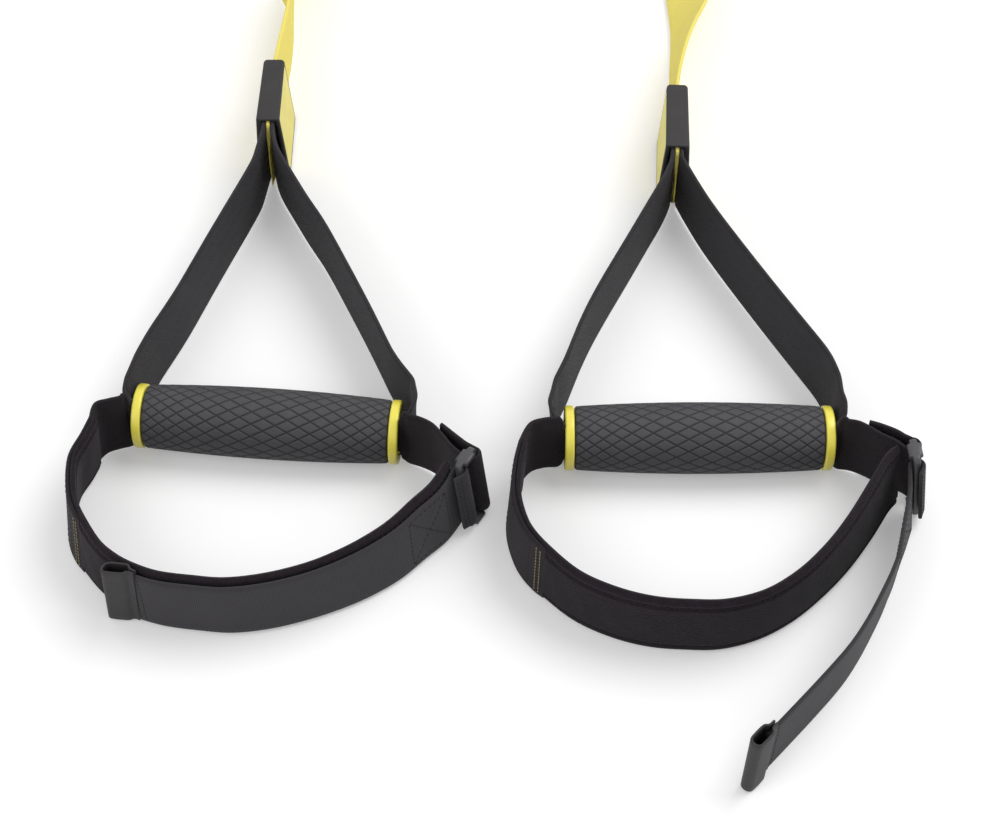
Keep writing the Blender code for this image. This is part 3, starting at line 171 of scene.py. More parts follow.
WEB_BACK_SHARES = {
    "left": ((1.117, -0.214), (1.033, -0.154), (0.96, -0.101)),
    "right": ((1.074, -0.152), (1.031, -0.124), (0.953, -0.09), (0.886, -0.068)),
}
WEB_TIP_LEAN_SHARE = 0.3
WEB_SEWN_POINTS = 6
PAD_RISE_START_SHARE = 0.7
RING_PLACE_SHARES = {"left": (1.13, -0.314), "right": (1.1125, -0.257)}
RING_TURN = {"left": radians(-27.0), "right": radians(3.0)}
RING_LEAN_SHARES = {"left": 0.13, "right": 0.16}
WEB_LEAD = {"left": radians(15), "right": radians(40)}
WEB_WRAP = radians(165)
CLOSURE_LEAD = radians(25)
LOOSE_SHARES = ((1.078, -0.39), (1.04, -0.49), (0.998, -0.59), (0.955, -0.7), (0.893, -0.82),
                (0.818, -0.94), (0.728, -1.07), (0.628, -1.19), (0.488, -1.325), (0.328, -1.47),
                (0.188, -1.595))
LOOSE_LEAN_FADE_SHARE = 0.35
CLOSURE_END_SHARE = -0.53
STRAP_RUN_SHARES = {
    "left": ((0.116, 0.0043, 0.0), (0.27, 0.007, 0.02), (0.43, 0.0011, 0.06), (0.555, -0.0103, 0.18),
             (0.68, -0.0229, 0.45), (0.79, -0.0301, 0.75), (0.9, -0.0231, 0.94)),
    "right": ((0.103, 0.004, 0.04), (0.214, 0.0094, 0.12), (0.309, 0.0203, 0.2), (0.409, 0.035, 0.3),
              (0.52, 0.0446, 0.42), (0.66, 0.0476, 0.6), (0.8, 0.0443, 0.8), (0.91, 0.0309, 0.96)),
}
COLLAR_BEND_SHARES = ((1.0, 1.0), (0.36, 0.59))
CARABINER_SHARES = ((0.96, 0.175), (0.88, 0.09), (0.70, 0.025), (0.48, 0.0), (0.0, 0.0), (-0.48, 0.0),
                    (-0.72, 0.03), (-0.90, 0.11), (-0.97, 0.24), (-1.0, 0.45), (-1.0, 0.65),
                    (-0.95, 0.80), (-0.80, 0.91), (-0.52, 0.98), (-0.15, 1.0), (0.25, 0.985),
                    (0.62, 0.94), (0.86, 0.86), (0.96, 0.775))
FOLD_DEPTH_SHARE = 0.8
GATE_FOOT_SHARE = 0.235
GATE_HEAD_SHARE = 0.75

# Legs at the grip, drawn rounder than the solids: place out from the grip's end as a share of
# the corner's reach, place along Y, how far the strap is gathered, and its curl
LEG_CORNER_SHARES = ((0.8, 0.0124, 0, radians(10)), (0.92, 0.0068, 0.05, radians(18)),
                     (0.6, 0.0028, 0.25, radians(42)), (0.15, 0.0024, 0.75, radians(110)),
                     (-0.3, 0.0045, 1, radians(150)))
FOOT_CURL = radians(14)
LEG_EASE_ROUNDS = 24

# Cradle web, spread wider than in the solids as it leaves the grip: distance out, spread.
# Then two distances, from close to the grip and from its middle, that the code leaves unused
WEB_SPREAD = ((-0.0044, 0), (-0.0004, 0.22), (0.0009, 0.75), (0.0030, 1.0))
WEB_BLEND_START, WEB_BLEND_ENDS = 0.001, (0.0785, 0.0860)
WEB_TAPER, WEB_TIP_SHARE = 0.0045, 0.3

# Detail that only the looks have. A plan is rows of a place and what the piece has there
FINE = 8
STRIP_COLUMNS, EDGE_STEPS = 12, 3
YELLOW_STEPS, BLACK_STEPS, FOLD_STEPS, LOOP_STEPS, GATE_STEPS = 60, 50, 16, 24, 12

# Grip and its rings: the bore's edge is how much wider, and how far in
GRIP_STEPS, GRIP_SIDES = 260, 324
GRIP_END_EDGE, GRIP_END_DROP = 0.0012, 0.0006
LATTICE_LINES, LATTICE_SLOPE, LATTICE_CURVE = 18, 30.6, 1900.0
GROOVE_WIDTH, GROOVE_DEPTH = 0.00036, 0.00040
RING_SIDES, RING_EDGE = 96, 0.0010
RING_BORE_EDGE = ((0.0005, 0), (0.0001, 0.0002), (0, 0.0006))

# Yoke: the slot widens to the mouth by a share of the wall's way, by another on each side.
# The panels' margins are front, back, low and high, and their crown is inset and height
SLEEVE_CORNER = 0.0009
SLEEVE_BACK_ROUNDING, SLEEVE_MOUTH_ROUNDING, SLEEVE_EDGE_ROUNDING = 0.0023, 0.0008, 0.0007
SLEEVE_FLARE = 0.0005
SLEEVE_WALL = 0.0016
SLOT_ROUNDING = 0.0008
SLOT_PLAN = ((0.0466, 0.05), (0.041, 0), (0.024, 0), (0.016, 0.12), (0.010, 0.42), (0.005, 0.78),
             (0.002, 0.95), (0.0004, 1.04))
MOUTH_SIDE_SHARES = {"left": (0.15, 1.0), "right": (1.0, 0.15)}
PANEL_MARGINS = (0.0016, 0.0034, 0.0024, 0.0013)
PANEL_CORNER, PANEL_LEAST_CORNER = 0.0018, 0.0004
PANEL_CROWN = ((0.0, -0.0006), (0.0, 0.00002), (0.0001, 0.00004), (0.003, 0.00006), (0.009, 0.00008))

# Yellow straps: the round cut of the end in the yoke, and where the long one enters and bends
STRAP_END_DROP, STRAP_END_TIP = 0.015, 0.0015
STRAP_END_PRESSED, STRAP_END_FULL, STRAP_END_PRESS_REACH = 0.35, 1.10, 0.6 * STRAP_END_REACH
STRAP_END_RAISE = {"left": 0.0, "right": 0.009}
STRAP_END_CUT_SHARES = ((-2.0, 0), (-0.4, 0), (0.0, 0.02), (0.2, 0.12), (0.4, 0.4), (0.7, 0.75),
                        (1.0, 1.0))
YOKE_ENTRY = (0.002, 0.0045)

# Pad: the widths of its binding and of binding and channel, the ripple of its foam, and its
# form as shares of half its thickness
SEWN_PAD_SHARE = 0.30
PAD_BINDING, PAD_CHANNEL_END = 0.0038, 0.0052
PAD_RIPPLE, PAD_RIPPLE_ALONG, PAD_RIPPLE_ACROSS = 0.00012, 420, 160
PAD_CROWN_DROP, PAD_CHANNEL_SHARE = 0.10, 0.60
PAD_BINDING_SHARE, PAD_BINDING_ROUND = 0.66, 0.10
PAD_END, PAD_END_SHARE = 0.005, 0.72

# Ring at the cradle's corner: the rail's plan is in shares of its length and of the depth
BAR_CORNER = 0.0012
RAIL_PLAN = ((0, 1), (0.06, 1), (0.12, 1.9), (0.5, 1.9), (0.88, 1.9), (0.94, 1))

# Hook-and-loop strap and its tab: the tab's plans are places along it, and shares of its wall
# at the sewn ends and of half its thickness in the loop
LOOP_END = 0.0048
# Along the closure strap: where the painted shade on its loop round the ring's bar fades out
SHADED_LOOP_SPAN = (0.0125, 0.0150)
TAB_TURN_SHARES = {"left": 0.30, "right": 0.0}
TAB_SKEW_SHARES = {"left": 0.08, "right": 0.0}
TAB_WALL, TAB_DROP = 0.0011, 0.0008
TAB_ENDS_PLAN = ((-0.0042, 0.7), (-0.0022, 0.75), (-0.0010, 1.1))
TAB_LOOP_PLAN = ((0.0004, 0.78), (0.0030, 0.86), (0.0062, 0.86), (0.0086, 0.78), (0.0097, 0.4),
                 (0.0099, 0))

# Carabiner: the ends of its rods are domes, and the plan of an ear is inset and rise
ROD_SIDES = 28
DOME_STEPS, DOME_SHARE, DOME_TIP = 5, 0.35, 0.04 * HALF_PI
EAR_PLAN = ((0.0004, 0), (0, 0.0003), (0, EAR_THICKNESS - 0.0005), (0.0002, EAR_THICKNESS - 0.0001),
            (0.0007, EAR_THICKNESS))
EAR_ROUNDING_SHARE = 0.9

# Seams: pitch and radius of each kind of stitch, its form from end to end and the share of
# the pitch that it spans, and where they run
PLAIN_STITCH = (0.0031, 0.00032)
WEB_STITCH = (0.0031, 0.00018)
WEB_ROW_STITCH = (0.0024, 0.00028)
PAD_STITCH = (0.0028, 0.00026)
CLOSURE_STITCH = (0.0030, 0.00021)
TAB_STITCH = (0.0026, 0.00026)
STITCH_FORM = ((0.02, 0.35), (0.2, 0.9), (0.5, 1.0), (0.8, 0.9), (0.98, 0.35))
STITCH_SPAN = (0.14, 0.86)
LEG_SEAM, LEG_SEAM_HALF = (0.0015, 0.012), 0.0168
WEB_BOX_START, WEB_ROWS, WEB_SEAM_HALF = 0.010, (0.0026, 0.0052), 0.0165
PAD_SEAM_INSET, PAD_SEAM_HALF, PAD_SEAM_LIFT = 0.004, 0.0152, 0.36
CLOSURE_BOX_GAP, CLOSURE_BOX = 0.003, 0.024
CLOSURE_LOOP_ROWS, CLOSURE_END_ROWS, CLOSURE_SEAM_HALF = (0.0012, 0.0030), (-0.0065, -0.0040), 0.0160
TAB_SEAM, TAB_SEAM_HALF = 0.0022, 0.0170
TAIL_BOX, BOX_MARGIN, BOX_HALF = (0.002, 0.018), 0.002, 0.0150
FOLD_BOX_START, FOLD_SEAM_SPARE = 0.008, 0.01

# Sizes that follow
HALF_GRIP = GRIP_LENGTH / 2
LAYER = WEBBING_THICKNESS + GAP
HALF_WEBBING = WEBBING_THICKNESS / 2
YOKE_MIDDLE_HEIGHT = YOKE_HEIGHT / 2
LEG_HEIGHT = WEBBING_WIDTH / 2 + FLOOR_GAP
BORE_LINE = BORE_RADIUS - WEBBING_THICKNESS
PAD_MIDDLE = PAD_HEIGHT / 2 + FLOOR_GAP
RING_MIDDLE = RING_HEIGHT / 2
SEWN_WEB_TO_PAD = (PAD_THICKNESS * SEWN_PAD_SHARE + WEBBING_THICKNESS) / 2
SEWN_STEPS = FINE * (WEB_SEWN_POINTS - 1)
CLOSURE_TO_PAD = (PAD_THICKNESS + CLOSURE_THICKNESS) / 2 + GAP
BAR_REACH = hypot(BAR_WIDTH / 2 - BAR_ROUNDING, BAR_DEPTH / 2 - BAR_ROUNDING) + BAR_ROUNDING
FOLD_RADIUS = BAR_REACH + GAP + HALF_WEBBING
CLOSURE_FOLD_RADIUS = BAR_REACH + GAP + CLOSURE_THICKNESS / 2
RETURN_Z = FLOOR_GAP + HALF_WEBBING
BLACK_Z = FLOOR_GAP + LAYER + BUCKLE_PLATE + GAP + HALF_WEBBING
YELLOW_Z = BLACK_Z + LAYER
STRAIGHT_LENGTH = hypot(BUCKLE_SIDE - STRAP_MEET_X, BUCKLE_REACH - STRAP_MEET_Y)
TAIL_LENGTH = STRAIGHT_LENGTH - TAB_TO_MEETING
TAIL_END = TAIL_LENGTH - SLIDE_TAB_LENGTH / 3
RAMP_START = TAIL_LENGTH + SLIDE_TAB_LENGTH / 2 + RAMP_LEAD
COLLAR_LAYERS_Z = [COLLAR_WALL + GAP + HALF_WEBBING + level * LAYER for level in range(4)]
BAR_CENTRE_Z = FLOOR_GAP + WEBBING_THICKNESS + GAP + CARABINER_ROD

Section = namedtuple("Section", "middle across face width curl", defaults=(WEBBING_WIDTH, 0))


def mix(low, high, share):
    return low + (high - low) * share


def shares(steps):
    """Even shares from 0 to 1."""
    return [step / steps for step in range(steps + 1)]


# Materials

# Pitches of the weaves, and where the selvedge starts across a strap
CHEVRON, TWILL_PITCH, WARP_PITCH = 0.0048, 0.00155, 0.00080
SELVEDGE, SELVEDGE_PITCH = (0.0172, 0.0182), 0.0011
RIB_PITCH, RIB_DRIFT, CROSS_PITCH = 0.00095, 0.0007, 0.0007


class Finish:
    """A procedural material or world, with short names for its nodes."""

    def __init__(self, owner, end, **sockets):
        owner.use_nodes = True
        self.owner, self.tree = owner, owner.node_tree
        self.end = self.tree.nodes[end].inputs
        for socket, value in sockets.items():
            self.end[socket.replace("_", " ")].default_value = value

    def feed(self, socket, value):
        if isinstance(value, bpy.types.NodeSocket):
            self.tree.links.new(value, socket)
        else:
            socket.default_value = value

    def node(self, kind, inputs, output=0, **settings):
        """An output of a new node, which gets these inputs, by name or number, and settings."""
        made = self.tree.nodes.new(kind)
        for key, value in settings.items():
            setattr(made, key, value)
        for key, value in inputs.items():
            self.feed(made.inputs[key], value)
        return made.outputs[output]

    def math(self, operation, *values):
        return self.node("ShaderNodeMath", dict(enumerate(values)), operation=operation)

    def place(self):
        return self.node("ShaderNodeTexCoord", {}, "Object")

    def parts(self, vector):
        return self.node("ShaderNodeSeparateXYZ", {0: vector}).node.outputs

    def strap_place(self):
        """Distance along the strap and across it, in metres, from its UV map."""
        return self.parts(self.node("ShaderNodeUVMap", {}, uv_map="strap"))[:2]

    def stretched(self, vector, scale):
        return self.node("ShaderNodeMapping", {"Vector": vector, "Scale": scale})

    def noise(self, vector, scale, detail, roughness=0.55):
        return self.node("ShaderNodeTexNoise", {"Vector": vector, "Scale": scale, "Detail": detail,
                                                "Roughness": roughness}, "Fac")

    def wave(self, distance, pitch):
        """A wave from 0 to 1 with that pitch in metres."""
        turn = self.math("MULTIPLY", distance, 2 * pi / pitch)
        return self.math("MULTIPLY_ADD", self.math("SINE", turn), 0.5, 0.5)

    def span(self, *values):
        """value, low, high: the value's share of the way, or to_low, to_high as well."""
        return self.node("ShaderNodeMapRange", dict(enumerate(values)))

    def blend(self, share, *colors):
        first, second = [(*color, 1) if isinstance(color, tuple) else color for color in colors]
        return self.node("ShaderNodeMix", {0: share, 6: first, 7: second}, 2, data_type="RGBA")

    def done(self, color, rough, height, depth, strength):
        """The material, with its colour, roughness and relief."""
        bump = self.node("ShaderNodeBump", {"Strength": strength, "Distance": depth, "Height": height})
        for name, value in (("Base Color", color), ("Roughness", rough), ("Normal", bump)):
            self.feed(self.end[name], value)
        return self.owner

    def seen_directly(self):
        """1 for the rays that should see a plain white background, else 0."""
        total = self.node("ShaderNodeLightPath", {}, "Is Camera Ray")
        path = total.node.outputs
        for ray in ("Is Glossy Ray", "Is Transmission Ray"):
            total = self.math("MAXIMUM", total, path[ray])
        return total


def new_finish(name, **sockets):
    return Finish(bpy.data.materials.new(name), "Principled BSDF", **sockets)


def webbing_finish(name, light, dark, soiled, sheen):
    """Narrow woven strap: chevron twill between fine warp columns, with selvedges."""
    finish = new_finish(name, Sheen_Weight=sheen, Sheen_Roughness=0.5, Specular_IOR_Level=0.25)
    along, across = finish.strap_place()
    zigzag = finish.math("PINGPONG", finish.math("ADD", across, 0.1), CHEVRON)
    twill = finish.wave(finish.math("ADD", along, zigzag), TWILL_PITCH)
    warp = finish.math("MULTIPLY", finish.wave(across, WARP_PITCH), 0.4)
    weave = finish.math("MULTIPLY_ADD", twill, 0.6, warp)
    edge = finish.span(finish.math("ABSOLUTE", across), *SELVEDGE)
    rows = finish.wave(along, SELVEDGE_PITCH)
    height = finish.math("MULTIPLY_ADD", edge, finish.math("SUBTRACT", rows, weave), weave)
    fuzz = finish.noise(finish.place(), 2600, 2)
    patch = finish.noise(finish.place(), 55, 4)
    tone = finish.blend(finish.span(height, 0.15, 0.75), dark, light)
    tone = finish.blend(finish.span(patch, 0.45, 0.8, 0, 0.45), tone, soiled)
    return finish.done(tone, finish.span(fuzz, 0.3, 0.7, 0.74, 0.88),
                       finish.math("MULTIPLY_ADD", fuzz, 0.35, height), 0.00022, 0.8)


def ribbed_finish(name, light, dark, sheen):
    """Hook-and-loop tape: fine ribs across its length, with fluff between them, and painted shade
    on its loop where it passes round the ring's bar."""
    finish = new_finish(name, Sheen_Weight=sheen, Sheen_Roughness=0.6, Specular_IOR_Level=0.2)
    along, across = finish.strap_place()
    drift = finish.noise(finish.place(), 160, 2)
    ribs = finish.wave(finish.math("MULTIPLY_ADD", drift, RIB_DRIFT, along), RIB_PITCH)
    fluff = finish.noise(finish.place(), 1900, 3)
    ribs = finish.math("MULTIPLY_ADD", finish.wave(across, CROSS_PITCH), 0.2, ribs)
    height = finish.math("MULTIPLY_ADD", fluff, 0.5, ribs)
    patch = finish.noise(finish.place(), 70, 4)
    tone = finish.blend(finish.span(height, 0.2, 1.5), dark, light)
    tone = finish.blend(finish.span(patch, 0.4, 0.75, 0, 0.35), tone, light)
    # Painted shade: the strap's first stretch, its loop round the ring's bar, is darkened
    tone = finish.blend(finish.span(along, *SHADED_LOOP_SPAN, 0.75, 0), tone, dark)
    return finish.done(tone, finish.span(fluff, 0.3, 0.7, 0.82, 0.95), height, 0.00014, 0.5)


def fabric_finish(name, light, dark):
    """Brushed knit over foam: small loops, fine nap and a few pulled fibres."""
    finish = new_finish(name, Sheen_Weight=0.06, Sheen_Roughness=0.55, Specular_IOR_Level=0.12)
    place = finish.place()
    cells = {"Vector": finish.stretched(place, (1.0, 1.0, 1.7)), "Scale": 950}
    loops = finish.node("ShaderNodeTexVoronoi", cells, "Distance", feature="SMOOTH_F1")
    nap = finish.noise(place, 420, 5, 0.7)
    patch = finish.noise(place, 60, 4)
    tone = finish.blend(finish.span(nap, 0.35, 0.7), dark, light)
    tone = finish.blend(finish.span(patch, 0.5, 0.8, 0, 0.4), tone, light)
    return finish.done(tone, finish.span(nap, 0.3, 0.7, 0.85, 0.98),
                       finish.math("MULTIPLY_ADD", nap, 0.8, loops), 0.0004, 0.6)


def moulded_finish(name, light, dark, rough, grain, dent, spots=40, **sockets):
    """Moulded rubber or plastic: fine grain, faint flow marks and uneven shine."""
    finish = new_finish(name, **sockets)
    place = finish.place()
    fine = finish.noise(place, grain, 2)
    broad = finish.noise(place, spots, 5, 0.65)
    scuff = finish.noise(finish.stretched(place, (1.0, 0.25, 1.0)), 480, 4, 0.7)
    tone = finish.blend(finish.span(broad, 0.35, 0.7), dark, light)
    worn = finish.math("MULTIPLY_ADD", finish.span(scuff, 0.5, 0.8), 0.12, rough - 0.05)
    return finish.done(tone, finish.math("MULTIPLY_ADD", broad, 0.1, worn),
                       finish.math("MULTIPLY_ADD", scuff, 0.3, fine), dent, 0.6)


def grip_finish(name, light, dark, groove_shade_tone):
    """Rubber with a fine grain, and painted shade along the bottom of its crossing grooves."""
    finish = new_finish(name, Specular_IOR_Level=0.3)
    place = finish.place()
    along, depth, height = finish.parts(place)
    turn = finish.math("ARCTAN2", height, depth)
    square = finish.math("MULTIPLY", along, along)
    bend = finish.math("MULTIPLY", along,
                       finish.math("MULTIPLY_ADD", square, LATTICE_CURVE, LATTICE_SLOPE))
    slope = finish.math("MULTIPLY_ADD", square, 3 * LATTICE_CURVE, LATTICE_SLOPE)
    steep = finish.math("MULTIPLY", slope, GRIP_RADIUS)
    stretch = finish.math("SQRT", finish.math("MULTIPLY_ADD", steep, steep, 1.0))
    one, other = [finish.math("PINGPONG", finish.math(operation, turn, bend), pi / LATTICE_LINES)
                  for operation in ("ADD", "SUBTRACT")]
    nearest = finish.math("MULTIPLY", finish.math("MINIMUM", other, one), GRIP_RADIUS)
    line = finish.span(finish.math("DIVIDE", nearest, stretch), 0.5 * GROOVE_WIDTH, 1.4 * GROOVE_WIDTH,
                       1, 0)
    fine = finish.noise(place, 2600, 2)
    broad = finish.noise(place, 60, 5, 0.65)
    tone = finish.blend(finish.span(broad, 0.35, 0.7), dark, light)
    # The groove bottoms get the third colour: painted shade, not a colour of the rubber
    return finish.done(finish.blend(line, tone, groove_shade_tone),
                       finish.math("MULTIPLY_ADD", broad, 0.12, 0.62),
                       finish.math("MULTIPLY_ADD", line, -1.5, fine), 0.00009, 0.6)


def metal_finish(name, light, dark, rough, metallic, scratch):
    """Metal or paint on metal, drawn along one way, with fine scratches and worn spots."""
    finish = new_finish(name, Metallic=metallic)
    place = finish.place()
    drawn = finish.noise(finish.stretched(place, scratch), 900, 3)
    worn = finish.noise(place, 240, 6, 0.75)
    return finish.done(finish.blend(finish.span(worn, 0.58, 0.72), dark, light),
                       finish.math("MULTIPLY_ADD", drawn, 0.18, rough - 0.08), drawn, 0.00003, 0.5)


FINISHES = {
    "yellow_webbing": webbing_finish("yellow_weave", (0.95, 0.83, 0.21), (0.88, 0.74, 0.13),
                                     (0.84, 0.72, 0.18), 0.04),
    "black_webbing": webbing_finish("black_weave", (0.033, 0.030, 0.034), (0.016, 0.0145, 0.0175),
                                    (0.042, 0.038, 0.042), 0.05),
    "cradle_web": webbing_finish("cradle_web_weave", (0.017, 0.0125, 0.0165), (0.009, 0.0070, 0.009),
                                 (0.022, 0.017, 0.021), 0.03),
    "closure": ribbed_finish("closure_tape", (0.046, 0.043, 0.048), (0.024, 0.022, 0.026), 0.08),
    "pad": fabric_finish("pad_knit", (0.022, 0.0165, 0.022), (0.010, 0.0075, 0.0105)),
    # The grip's third colour is painted shade for the bottoms of its grooves
    "grip": grip_finish("grip_rubber_grain", (0.071, 0.070, 0.075), (0.058, 0.057, 0.062),
                        (0.022, 0.021, 0.023)),
    "rubber": moulded_finish("black_rubber_grain", (0.033, 0.030, 0.031), (0.026, 0.024, 0.025), 0.60,
                             2400, 0.00006, 70, Specular_IOR_Level=0.35),
    "yellow_plastic": moulded_finish("yellow_moulded", (0.90, 0.80, 0.10), (0.84, 0.74, 0.08), 0.34,
                                     1600, 0.00003, 60, Coat_Weight=0.3, Coat_Roughness=0.15),
    "panel": moulded_finish("panel_moulded", (0.83, 0.75, 0.21), (0.77, 0.68, 0.17), 0.55, 1800,
                            0.00005, 90),
    "black_plastic": moulded_finish("black_moulded", (0.062, 0.061, 0.066), (0.046, 0.045, 0.049), 0.42,
                                    1900, 0.00004, 80),
    "steel": metal_finish("drawn_steel", (0.62, 0.62, 0.63), (0.50, 0.50, 0.52), 0.34, 1.0,
                          (0.06, 1.0, 1.0)),
    "black_metal": metal_finish("painted_metal", (0.13, 0.13, 0.14), (0.035, 0.035, 0.038), 0.44, 0.55,
                                (1.0, 0.12, 1.0)),
    "dark_thread": moulded_finish("dark_thread", (0.026, 0.023, 0.026), (0.016, 0.014, 0.016), 0.75,
                                  3000, 0.00006, Specular_IOR_Level=0.2),
    "tan_thread": moulded_finish("tan_thread", (0.42, 0.35, 0.19), (0.24, 0.19, 0.10), 0.75, 3000,
                                 0.00006, 900),
    "yellow_thread": moulded_finish("yellow_thread", (0.80, 0.68, 0.16), (0.70, 0.58, 0.12), 0.75, 3000,
                                    0.00006),
}


# Pieces and meshes


def link(name, data):
    made = bpy.data.objects.new(name, data)
    bpy.context.scene.collection.objects.link(made)
    return made


def make_mesh(name, shape, material):
    mesh = bpy.data.meshes.new(name)
    shape.to_mesh(mesh)
    shape.free()
    mesh.materials.append(material)
    return mesh


def make_piece(name, shape, finish, smooth_angle=None):
    """An object from a bmesh, shaded smooth, apart from edges sharper than smooth_angle."""
    bmesh.ops.recalc_face_normals(shape, faces=shape.faces)
    mesh = make_mesh(name, shape, FINISHES[finish])
    mesh.shade_smooth()
    if smooth_angle:
        mesh.set_sharp_from_angle(angle=radians(smooth_angle))
    return link(name, mesh)


def put(piece, body, slot, node=None, place=Matrix.Identity(4)):
    """Sets a piece in place, hangs it on the body it rides on and hides the node it replaces; slot is not
    used.
    """
    piece.matrix_world = place
    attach(piece, body)
    if node:
        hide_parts(node)


def smooth(points, steps=FINE):
    """A smooth line through points of any size, as tuples."""
    line = []
    for index in range(len(points) - 1):
        near = [points[min(max(index + step, 0), len(points) - 1)] for step in (-1, 0, 1, 2)]
        for t in shares(steps)[:-1]:
            line.append(tuple(0.5 * (2 * b + (c - a) * t + (2 * a - 5 * b + 4 * c - d) * t ** 2
                                     + (3 * b - a - 3 * c + d) * t ** 3) for a, b, c, d in zip(*near)))
    return line + [tuple(points[-1])]


def ease(points, first, last, rounds):
    """Evens out a line of points between two of its indices."""
    line = list(points)
    for _ in range(rounds):
        for index in range(max(first, 1), min(last, len(line) - 1)):
            line[index] = tuple((a + 2 * b + c) / 4 for a, b, c in zip(*line[index - 1:index + 2]))
    return line


def headings(spots):
    last = len(spots) - 1
    return [(spots[min(index + 1, last)] - spots[max(index - 1, 0)]).normalized()
            for index in range(last + 1)]


def around(count):
    return [2 * pi * share for share in shares(count)[:-1]]


def circle(middle, side, other, radius, count):
    """Points of a circle round its middle, in the plane of two ways."""
    return [middle + (side * cos(turn) + other * sin(turn)) * radius for turn in around(count)]


def standing_sections(line):
    """Sections of a strap on edge, from points (x, y, z, width, curl, lean). Its face looks to
    the left of the way it runs, and its top leans to that side by lean times its width."""
    spots = [Vector(point[:3]) for point in line]
    sections = []
    for spot, heading, (width, curl, lean) in zip(spots, headings(spots), (point[3:] for point in line)):
        left = UP.cross(heading).normalized()
        across = (UP + left * lean).normalized()
        face = (left - across * left.dot(across)).normalized()
        sections.append(Section(spot, across, face, width, curl))
    return sections


def on_section(section, across, lift):
    """A point across from the strap's middle line and lifted off its middle layer."""
    if abs(section.curl) < 0.01:
        return section.middle + section.across * across + section.face * lift
    radius = section.width / section.curl
    angle = across / radius
    normal = section.face * cos(angle) + section.across * sin(angle)
    return (section.middle + section.across * (radius * sin(angle))
            - section.face * (radius * (1 - cos(angle))) + normal * lift)


def run_lengths(sections):
    lengths = [0.0]
    for here, there in zip(sections, sections[1:]):
        lengths.append(lengths[-1] + (there.middle - here.middle).length)
    return lengths


def strap_profile(width, thickness, columns):
    """Points (across, lift) round a strap's section, with round edges."""
    radius = thickness / 2
    reach = width / 2 - radius
    half = [(mix(-reach, reach, share), radius) for share in shares(columns)]
    for angle in (HALF_PI - pi * share for share in shares(EDGE_STEPS + 1)[1:-1]):
        half.append((reach + radius * cos(angle), radius * sin(angle)))
    return half + [(-across, -lift) for across, lift in half]


def sweep(shape, rows, closed=False, uvs=None):
    """Faces between rows of points. uvs holds a row of pairs for each row of points."""
    layer = shape.loops.layers.uv.new("strap") if uvs else None
    made = [[shape.verts.new(point) for point in row] for row in rows]
    count = len(made[0])
    for here in range(len(made) if closed else len(made) - 1):
        there = (here + 1) % len(made)
        for index in range(count):
            after = (index + 1) % count
            corners = ((here, index), (here, after), (there, after), (there, index))
            face = shape.faces.new([made[row][spot] for row, spot in corners])
            if layer:
                for loop, (row, spot) in zip(face.loops, corners):
                    loop[layer].uv = uvs[row][spot]
    return made


def sweep_shut(shape, rows):
    """Faces between rows of points, and one face on each end."""
    made = sweep(shape, rows)
    shape.faces.new(made[0])
    shape.faces.new(made[-1])


def swept(name, rows, finish, angle, closed=False):
    """A piece from rows of points, closed on itself or shut at its ends."""
    shape = bmesh.new()
    if closed:
        sweep(shape, rows, True)
    else:
        sweep_shut(shape, rows)
    return make_piece(name, shape, finish, angle)


def cap(shape, row, columns):
    """Closes the end of a strap with small faces across its thickness."""
    half = columns + 1 + EDGE_STEPS
    for index in range(columns):
        shape.faces.new((row[index], row[index + 1], row[half + columns - index - 1],
                         row[half + columns - index]))
    shape.faces.new(row[columns:half + 1])
    shape.faces.new(row[half + columns:] + row[:1])


def strip(name, sections, thickness, finish, columns=STRIP_COLUMNS, form=None):
    """A strap with round edges through its sections. form gives each point's lift from
    (across, lift, along, length)."""
    shape = bmesh.new()
    lengths = run_lengths(sections)
    rows, uvs = [], []
    for section, along in zip(sections, lengths):
        profile = strap_profile(section.width, thickness, columns)
        if form:
            profile = [(across, form(across, lift, along, lengths[-1])) for across, lift in profile]
        rows.append([on_section(section, *point) for point in profile])
        uvs.append([(along, across) for across, _ in profile])
    made = sweep(shape, rows, uvs=uvs)
    for row in (made[0], made[-1]):
        cap(shape, row, columns)
    return make_piece(name, shape, finish, 60)


def on_strap(sections, lengths, along, across, lift):
    """The point at a distance along a strap, counted from its end where that is negative."""
    if along < 0:
        along += lengths[-1]
    index = 0
    while index < len(lengths) - 2 and lengths[index + 1] < along:
        index += 1
    share = (along - lengths[index]) / (lengths[index + 1] - lengths[index])
    here = on_section(sections[index], across, lift)
    return here.lerp(on_section(sections[index + 1], across, lift), share)


def stitch(shape, start, end, radius):
    """One thread bow: a thin six-sided grain between its two holes."""
    way = (end - start).normalized()
    side = way.orthogonal().normalized()
    other = way.cross(side)
    sweep_shut(shape, [circle(start + (end - start) * share, side, other, radius * size, 6)
                       for share, size in STITCH_FORM])


def sew(name, sections, lines, lift, finish, ride, pitch_and_radius=PLAIN_STITCH):
    """Rows of stitches on a strap. Each line is ((along, across), (along, across)), and ride
    says what put is told."""
    shape = bmesh.new()
    lengths = run_lengths(sections)
    pitch, radius = pitch_and_radius
    for (along, across), (far_along, far_across) in lines:
        count = max(1, round(hypot(far_along - along, far_across - across) / pitch))
        for step in range(count):
            ends = [on_strap(sections, lengths, mix(along, far_along, (step + part) / count),
                             mix(across, far_across, (step + part) / count), lift)
                    for part in STITCH_SPAN]
            stitch(shape, *ends, radius)
    put(make_piece(name, shape, finish), *ride)


def box_lines(start, end, half_width, cross=True):
    """A sewn box across a strap, with a cross in it."""
    corners = ((start, -half_width), (end, -half_width), (end, half_width), (start, half_width))
    lines = list(zip(corners, corners[1:] + corners[:1]))
    return lines + [(corners[0], corners[2]), (corners[1], corners[3])] if cross else lines


def row_lines(places, half_width):
    """Rows of stitches across a strap."""
    return [((along, -half_width), (along, half_width)) for along in places]


